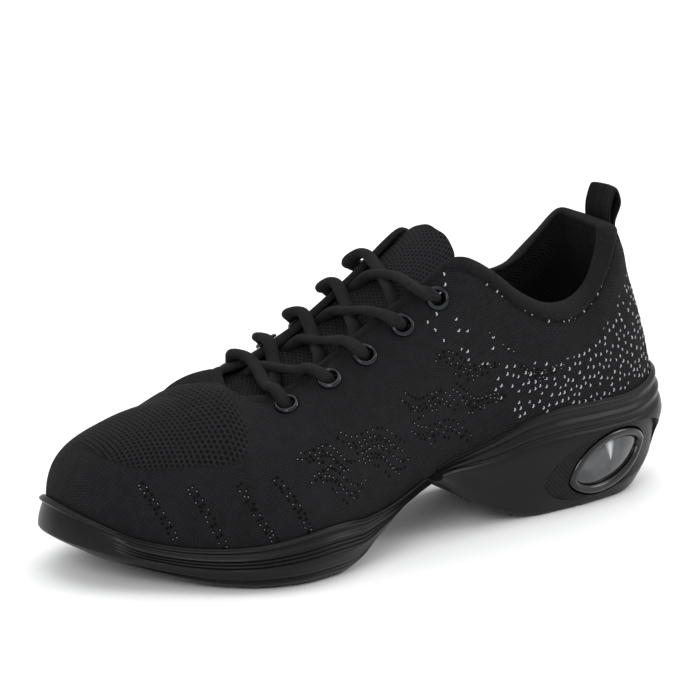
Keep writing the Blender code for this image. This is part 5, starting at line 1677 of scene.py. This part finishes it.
@dataclass
class Trims:
    """Small marks knitted into the upper: pinholes over the toes and quarters, drawn as discs of painted
    shade with some painted highlights, and light specks.
    """

    pinhole: float = 0.00064
    speck: float = 0.00082
    lift: float = 0.00006
    toe_rows: tuple = (
        ((0.925, 0.396), (0.889, 0.107)), ((0.871, 0.358), (0.835, 0.075)),
        ((0.815, 0.333), (0.771, 0.101)), ((0.773, 0.428), (0.722, 0.126)),
    )
    waves: tuple = (
        ((0.425, 0.723), (0.314, 0.824)), ((0.484, 0.509), (0.388, 0.509)), ((0.364, 0.585), (0.258, 0.516)),
        ((0.447, 0.352), (0.364, 0.327)), ((0.548, 0.447), (0.440, 0.277)), ((0.521, 0.277), (0.410, 0.126)),
        ((0.673, 0.522), (0.538, 0.252)), ((0.739, 0.535), (0.651, 0.358)), ((0.638, 0.377), (0.528, 0.151)),
        ((0.717, 0.371), (0.619, 0.208)),
    )

    def holes(self, side: Side) -> list[tuple[float, float]]:
        """List the pinholes of one side as stations and shares."""
        places = []
        for start, low in self.toe_rows:
            for k in range(13):
                t = k / 12
                along, share = (start[n] + (low[n] - start[n]) * t for n in (0, 1))
                wide = 0.0075 if k % 2 else 0.0040
                places += [(along + wide / 2, share), (along - wide / 2, share + 0.010)]
        for number, (start, stop) in enumerate(self.waves):
            for k in range(14):
                t = k / 13
                along, share = (start[n] + (stop[n] - start[n]) * t for n in (0, 1))
                swing = 0.026 * math.sin(2 * math.pi * (t * 1.1 + 0.1 * number))
                rows = 2 + (2 <= k <= 11) + (4 <= k <= 9 and k % 3 != 1)
                for row in range(rows):
                    shift = 0.0048 * (row % 2)
                    places.append((along + shift, share + swing - 0.026 * row + 0.020))
        return places

    def specks(self, side: Side) -> list[tuple[float, float]]:
        """Scatter specks, sparse at the middle and close together at the heel's back."""
        rng = np.random.default_rng(7 if side is Side.LATERAL else 11)
        places: list[tuple[float, float]] = []
        xyz: list[np.ndarray] = []
        for _ in range(4200):
            along, share = rng.uniform(0.0, 0.52), rng.uniform(0.20, 0.955)
            nearness = 1 - min(1.0, along / 0.46)
            if rng.uniform() > 0.06 + 0.94 * nearness**1.4 or along > 0.24 + 0.40 * share:
                continue
            point, _, _ = on_upper(side, along, share)
            if all(np.linalg.norm(point - other) > 0.0023 for other in xyz):
                places.append((along, share))
                xyz.append(point)
        return places

    def disc(self, mesh: Mesh, at: tuple, radius: float, slot: int, count: int = 8) -> None:
        """Lay a small round spot on the upper.

        Args:
            mesh: The mesh that takes it.
            at: Point, outward direction and the direction towards the toe.
            radius: Its radius.
            slot: Material number.
            count: Corners round it.
        """
        point, out, forward = at
        over = np.cross(out, forward)
        ring = []
        for k in range(count):
            a = 2 * math.pi * k / count
            ring.append(point + out * self.lift + radius * (math.cos(a) * forward + math.sin(a) * over))
        mesh.plate(ring, slot)

    def tick(self, mesh: Mesh, at: tuple, size: float, turn: float) -> None:
        """Lay a small V of light yarn on the upper.

        Args:
            mesh: The mesh that takes it.
            at: Point, outward direction and the direction towards the toe.
            size: Length of each arm.
            turn: Its turn in radians.
        """
        point, out, forward = at
        over = np.cross(out, forward)
        first = math.cos(turn) * forward + math.sin(turn) * over
        second = math.cos(turn) * over - math.sin(turn) * forward
        for sign in (-1, 1):
            path = [point + out * self.lift * 2 - first * size * 0.25 + second * sign * size * u
                    + first * size * 0.9 * u for u in (0.0, 0.4, 0.8)]
            tube(mesh, np.array(path), np.array([out] * 3), size * 0.62, size * 0.35, 6, 2.0)

    def build(self) -> list[bpy.types.Object]:
        """Build the pinholes' painted shade and painted highlights, and the specks of both sides."""
        holes, specks = Mesh("knit_pinholes"), Mesh("knit_specks")
        rng = np.random.default_rng(3)
        for side in Side:
            for along, share in self.holes(side):
                at = on_upper(side, along, share)
                # painted shade: a near-black disc stands for the dark inside of the hole
                self.disc(holes, at, self.pinhole * rng.uniform(0.85, 1.2), 0)
                # painted highlight: a small bright disc beside half of the holes
                if rng.uniform() < 0.5:
                    point, out, forward = at
                    over = np.cross(out, forward)
                    near = point + over * self.pinhole * 0.3 + out * self.lift
                    self.disc(holes, (near, out, forward), self.pinhole * 0.36, 1, 6)
            for along, share in self.specks(side):
                turn = rng.normal(-0.5, 0.25) * side.value
                self.tick(specks, on_upper(side, along, share), self.speck * rng.uniform(0.7, 1.0), turn)
        dark = attach(holes.build([PINHOLE_SHADE.material(), GLINT.material()], weld=0), "knit_upper")
        light = attach(specks.build([SPECK.material()], weld=0), "knit_upper")
        return [dark, light]


@dataclass
class Studio:
    """The pale floor, the soft lights and the camera at the photograph's angle."""

    place: tuple[float, float, float] = (0.76346, 0.9925, 0.40955)
    yaw: float = math.radians(33.7396)
    pitch: float = math.radians(15.7861)
    lens: float = 167.74

    def camera(self) -> None:
        """Aim the camera."""
        data = bpy.data.cameras.new("camera")
        data.lens, data.sensor_width = self.lens, 36.0
        camera = bpy.data.objects.new("camera", data)
        level = math.cos(self.pitch)
        back = Vector((math.sin(self.yaw) * level, math.cos(self.yaw) * level, math.sin(self.pitch)))
        right = Vector((-math.cos(self.yaw), math.sin(self.yaw), 0.0))
        up = back.cross(right)
        turn = Matrix((right, up, back)).transposed().to_4x4()
        camera.matrix_world = Matrix.Translation(self.place) @ turn
        bpy.context.scene.collection.objects.link(camera)
        bpy.context.scene.camera = camera

    def light(
        self, name: str, place: Sequence[float], size: float, power: float, aim: Sequence[float]
    ) -> None:
        """Hang a soft square light.

        Args:
            name: Its name.
            place: Where it hangs.
            size: Its side.
            power: Its power in watts.
            aim: The point that it faces.
        """
        data = bpy.data.lights.new(name, "AREA")
        data.energy, data.size = power, size
        lamp = bpy.data.objects.new(name, data)
        lamp.location = place
        lamp.rotation_euler = (Vector(aim) - Vector(place)).to_track_quat("-Z", "Y").to_euler()
        bpy.context.scene.collection.objects.link(lamp)

    def build(self) -> None:
        """Lay the floor and set up the light."""
        self.camera()
        shape = bmesh.new()
        bmesh.ops.create_grid(shape, x_segments=8, y_segments=8, size=6.0)
        data = bpy.data.meshes.new("floor")
        shape.to_mesh(data)
        shape.free()
        floor = bpy.data.objects.new("floor", data)
        floor.location.z = -0.0002
        bpy.context.scene.collection.objects.link(floor)
        nodes = Nodes("studio_floor")
        nodes.set(Base_Color=nodes.mix(nodes.noise(2, 2), (0.89,) * 3, (0.91,) * 3))
        nodes.set(Roughness=0.7, Specular_IOR_Level=0.1)
        data.materials.append(nodes.material)
        world = bpy.data.worlds.new("studio")
        bpy.context.scene.world = world
        world.use_nodes = True
        sky = world.node_tree.nodes["Background"]
        sky.inputs["Color"].default_value = (0.99, 0.995, 1.0, 1.0)
        sky.inputs["Strength"].default_value = 0.95
        bpy.context.scene.view_settings.view_transform = "Standard"
        self.light("overhead", (-0.6, -0.8, 2.6), 3.6, 46.0, (-0.6, -0.8, 0.0))
        self.light("front", (0.95, 0.75, 0.75), 0.45, 4.5, (0.12, 0, 0.04))
        self.light("behind", (-0.7, 0.5, 0.6), 0.4, 2.5, (0.0, 0, 0.05))


KNIT = Knit("knit_upper", open_field=True)
COLLAR = Ribbed("knit_collar", (0.0090, 0.0090, 0.0100), 0.0010, 0.00030, slant=0.35)
LINING = Ribbed("knit_lining", (0.0060, 0.0060, 0.0066), 0.0018, 0.00045)
SOCK_CLOTH = Knit("sock_cloth", colour=(0.007, 0.007, 0.0078), wale=0.0009, course=0.0008)
AIR_MESH = AirMesh("tongue_mesh")
WEBBING = Ribbed(
    "loop_webbing", (0.0060, 0.0060, 0.0066), 0.0010, 0.00028, across_up=True, cross_pitch=0.0014,
)
BRAID = Ribbed("lace_braid", (0.0125, 0.0125, 0.0135), 0.00085, 0.00022, slant=0.9, cross_pitch=0.0016)
RUBBER = Rubber("sole_rubber")
TREAD = Rubber("sole_tread", (0.0060, 0.0060, 0.0064), 0.50, 0.0002)
HATCH = Rubber("sole_hatched", (0.0050, 0.0050, 0.0053), 0.36, 0.0001, hatch=0.0021)
METAL = Gloss("eyelet_metal", (0.030, 0.031, 0.034), 0.14, metallic=0.95)
WINDOW_RING = Gloss("window_ring", (0.0040, 0.0040, 0.0043), 0.16, coat=0.3)
# the window lens, with a painted reflection: a bright band in its colour
LENS = Gloss("window_lens", (0.13, 0.133, 0.140), 0.12, metallic=0.85, coat=0.6, painted_reflection=2.6)
SPECK = YarnAndPaintedLight("speck_yarn", (0.46, 0.45, 0.48))
# painted shade of the pinholes, and their painted highlights
PINHOLE_SHADE = YarnAndPaintedLight("pinhole_shade", (0.0016, 0.0016, 0.0018), 0.9, 0.1)
GLINT = YarnAndPaintedLight("pinhole_glint", (0.20, 0.205, 0.22), 0.45)
EYELETS = Eyelets()
TONGUE = Tongue()
HEEL = SoleUnit(
    "rubber_heel", "sole_heel", HEEL_UNDER, HEEL_SIDE, 0.0, 0.468,
    ((0.130, 0, 0), (0.200, 0, 0)), windows=True,
)
FOREFOOT = SoleUnit(
    "rubber_forefoot", "sole_forefoot", FOREFOOT_UNDER, FOREFOOT_SIDE, 0.489, 1.0,
    ((0.691, 0, -6), (0.754, 0, -4), (0.819, 0.05, -2), (0.884, 0.29, 0)), bumper=True,
)


def main() -> None:
    """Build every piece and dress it."""
    logging.basicConfig(level=logging.INFO, format="%(message)s")
    Studio().build()
    makers: list[tuple[str, Callable[[], Any]]] = [
        ("heel", HEEL.build),
        ("forefoot", FOREFOOT.build),
        ("lateral window", HeelWindow(Side.LATERAL).build),
        ("medial window", HeelWindow(Side.MEDIAL).build),
        ("upper", Upper().build),
        ("tongue", TONGUE.build),
        ("insole", Insole().build),
        ("pull loop", PullLoop().build),
        ("eyelets", EYELETS.build),
        ("lace", Lace().build),
        ("trims", Trims().build),
    ]
    for word, make in makers:
        made = make()
        for piece in made if isinstance(made, list) else [made]:
            triangles = sum(len(p.vertices) - 2 for p in piece.data.polygons)
            LOG.info("%s: %s, %d triangles", word, piece.name, triangles)


if __name__ == "__main__":
    main()
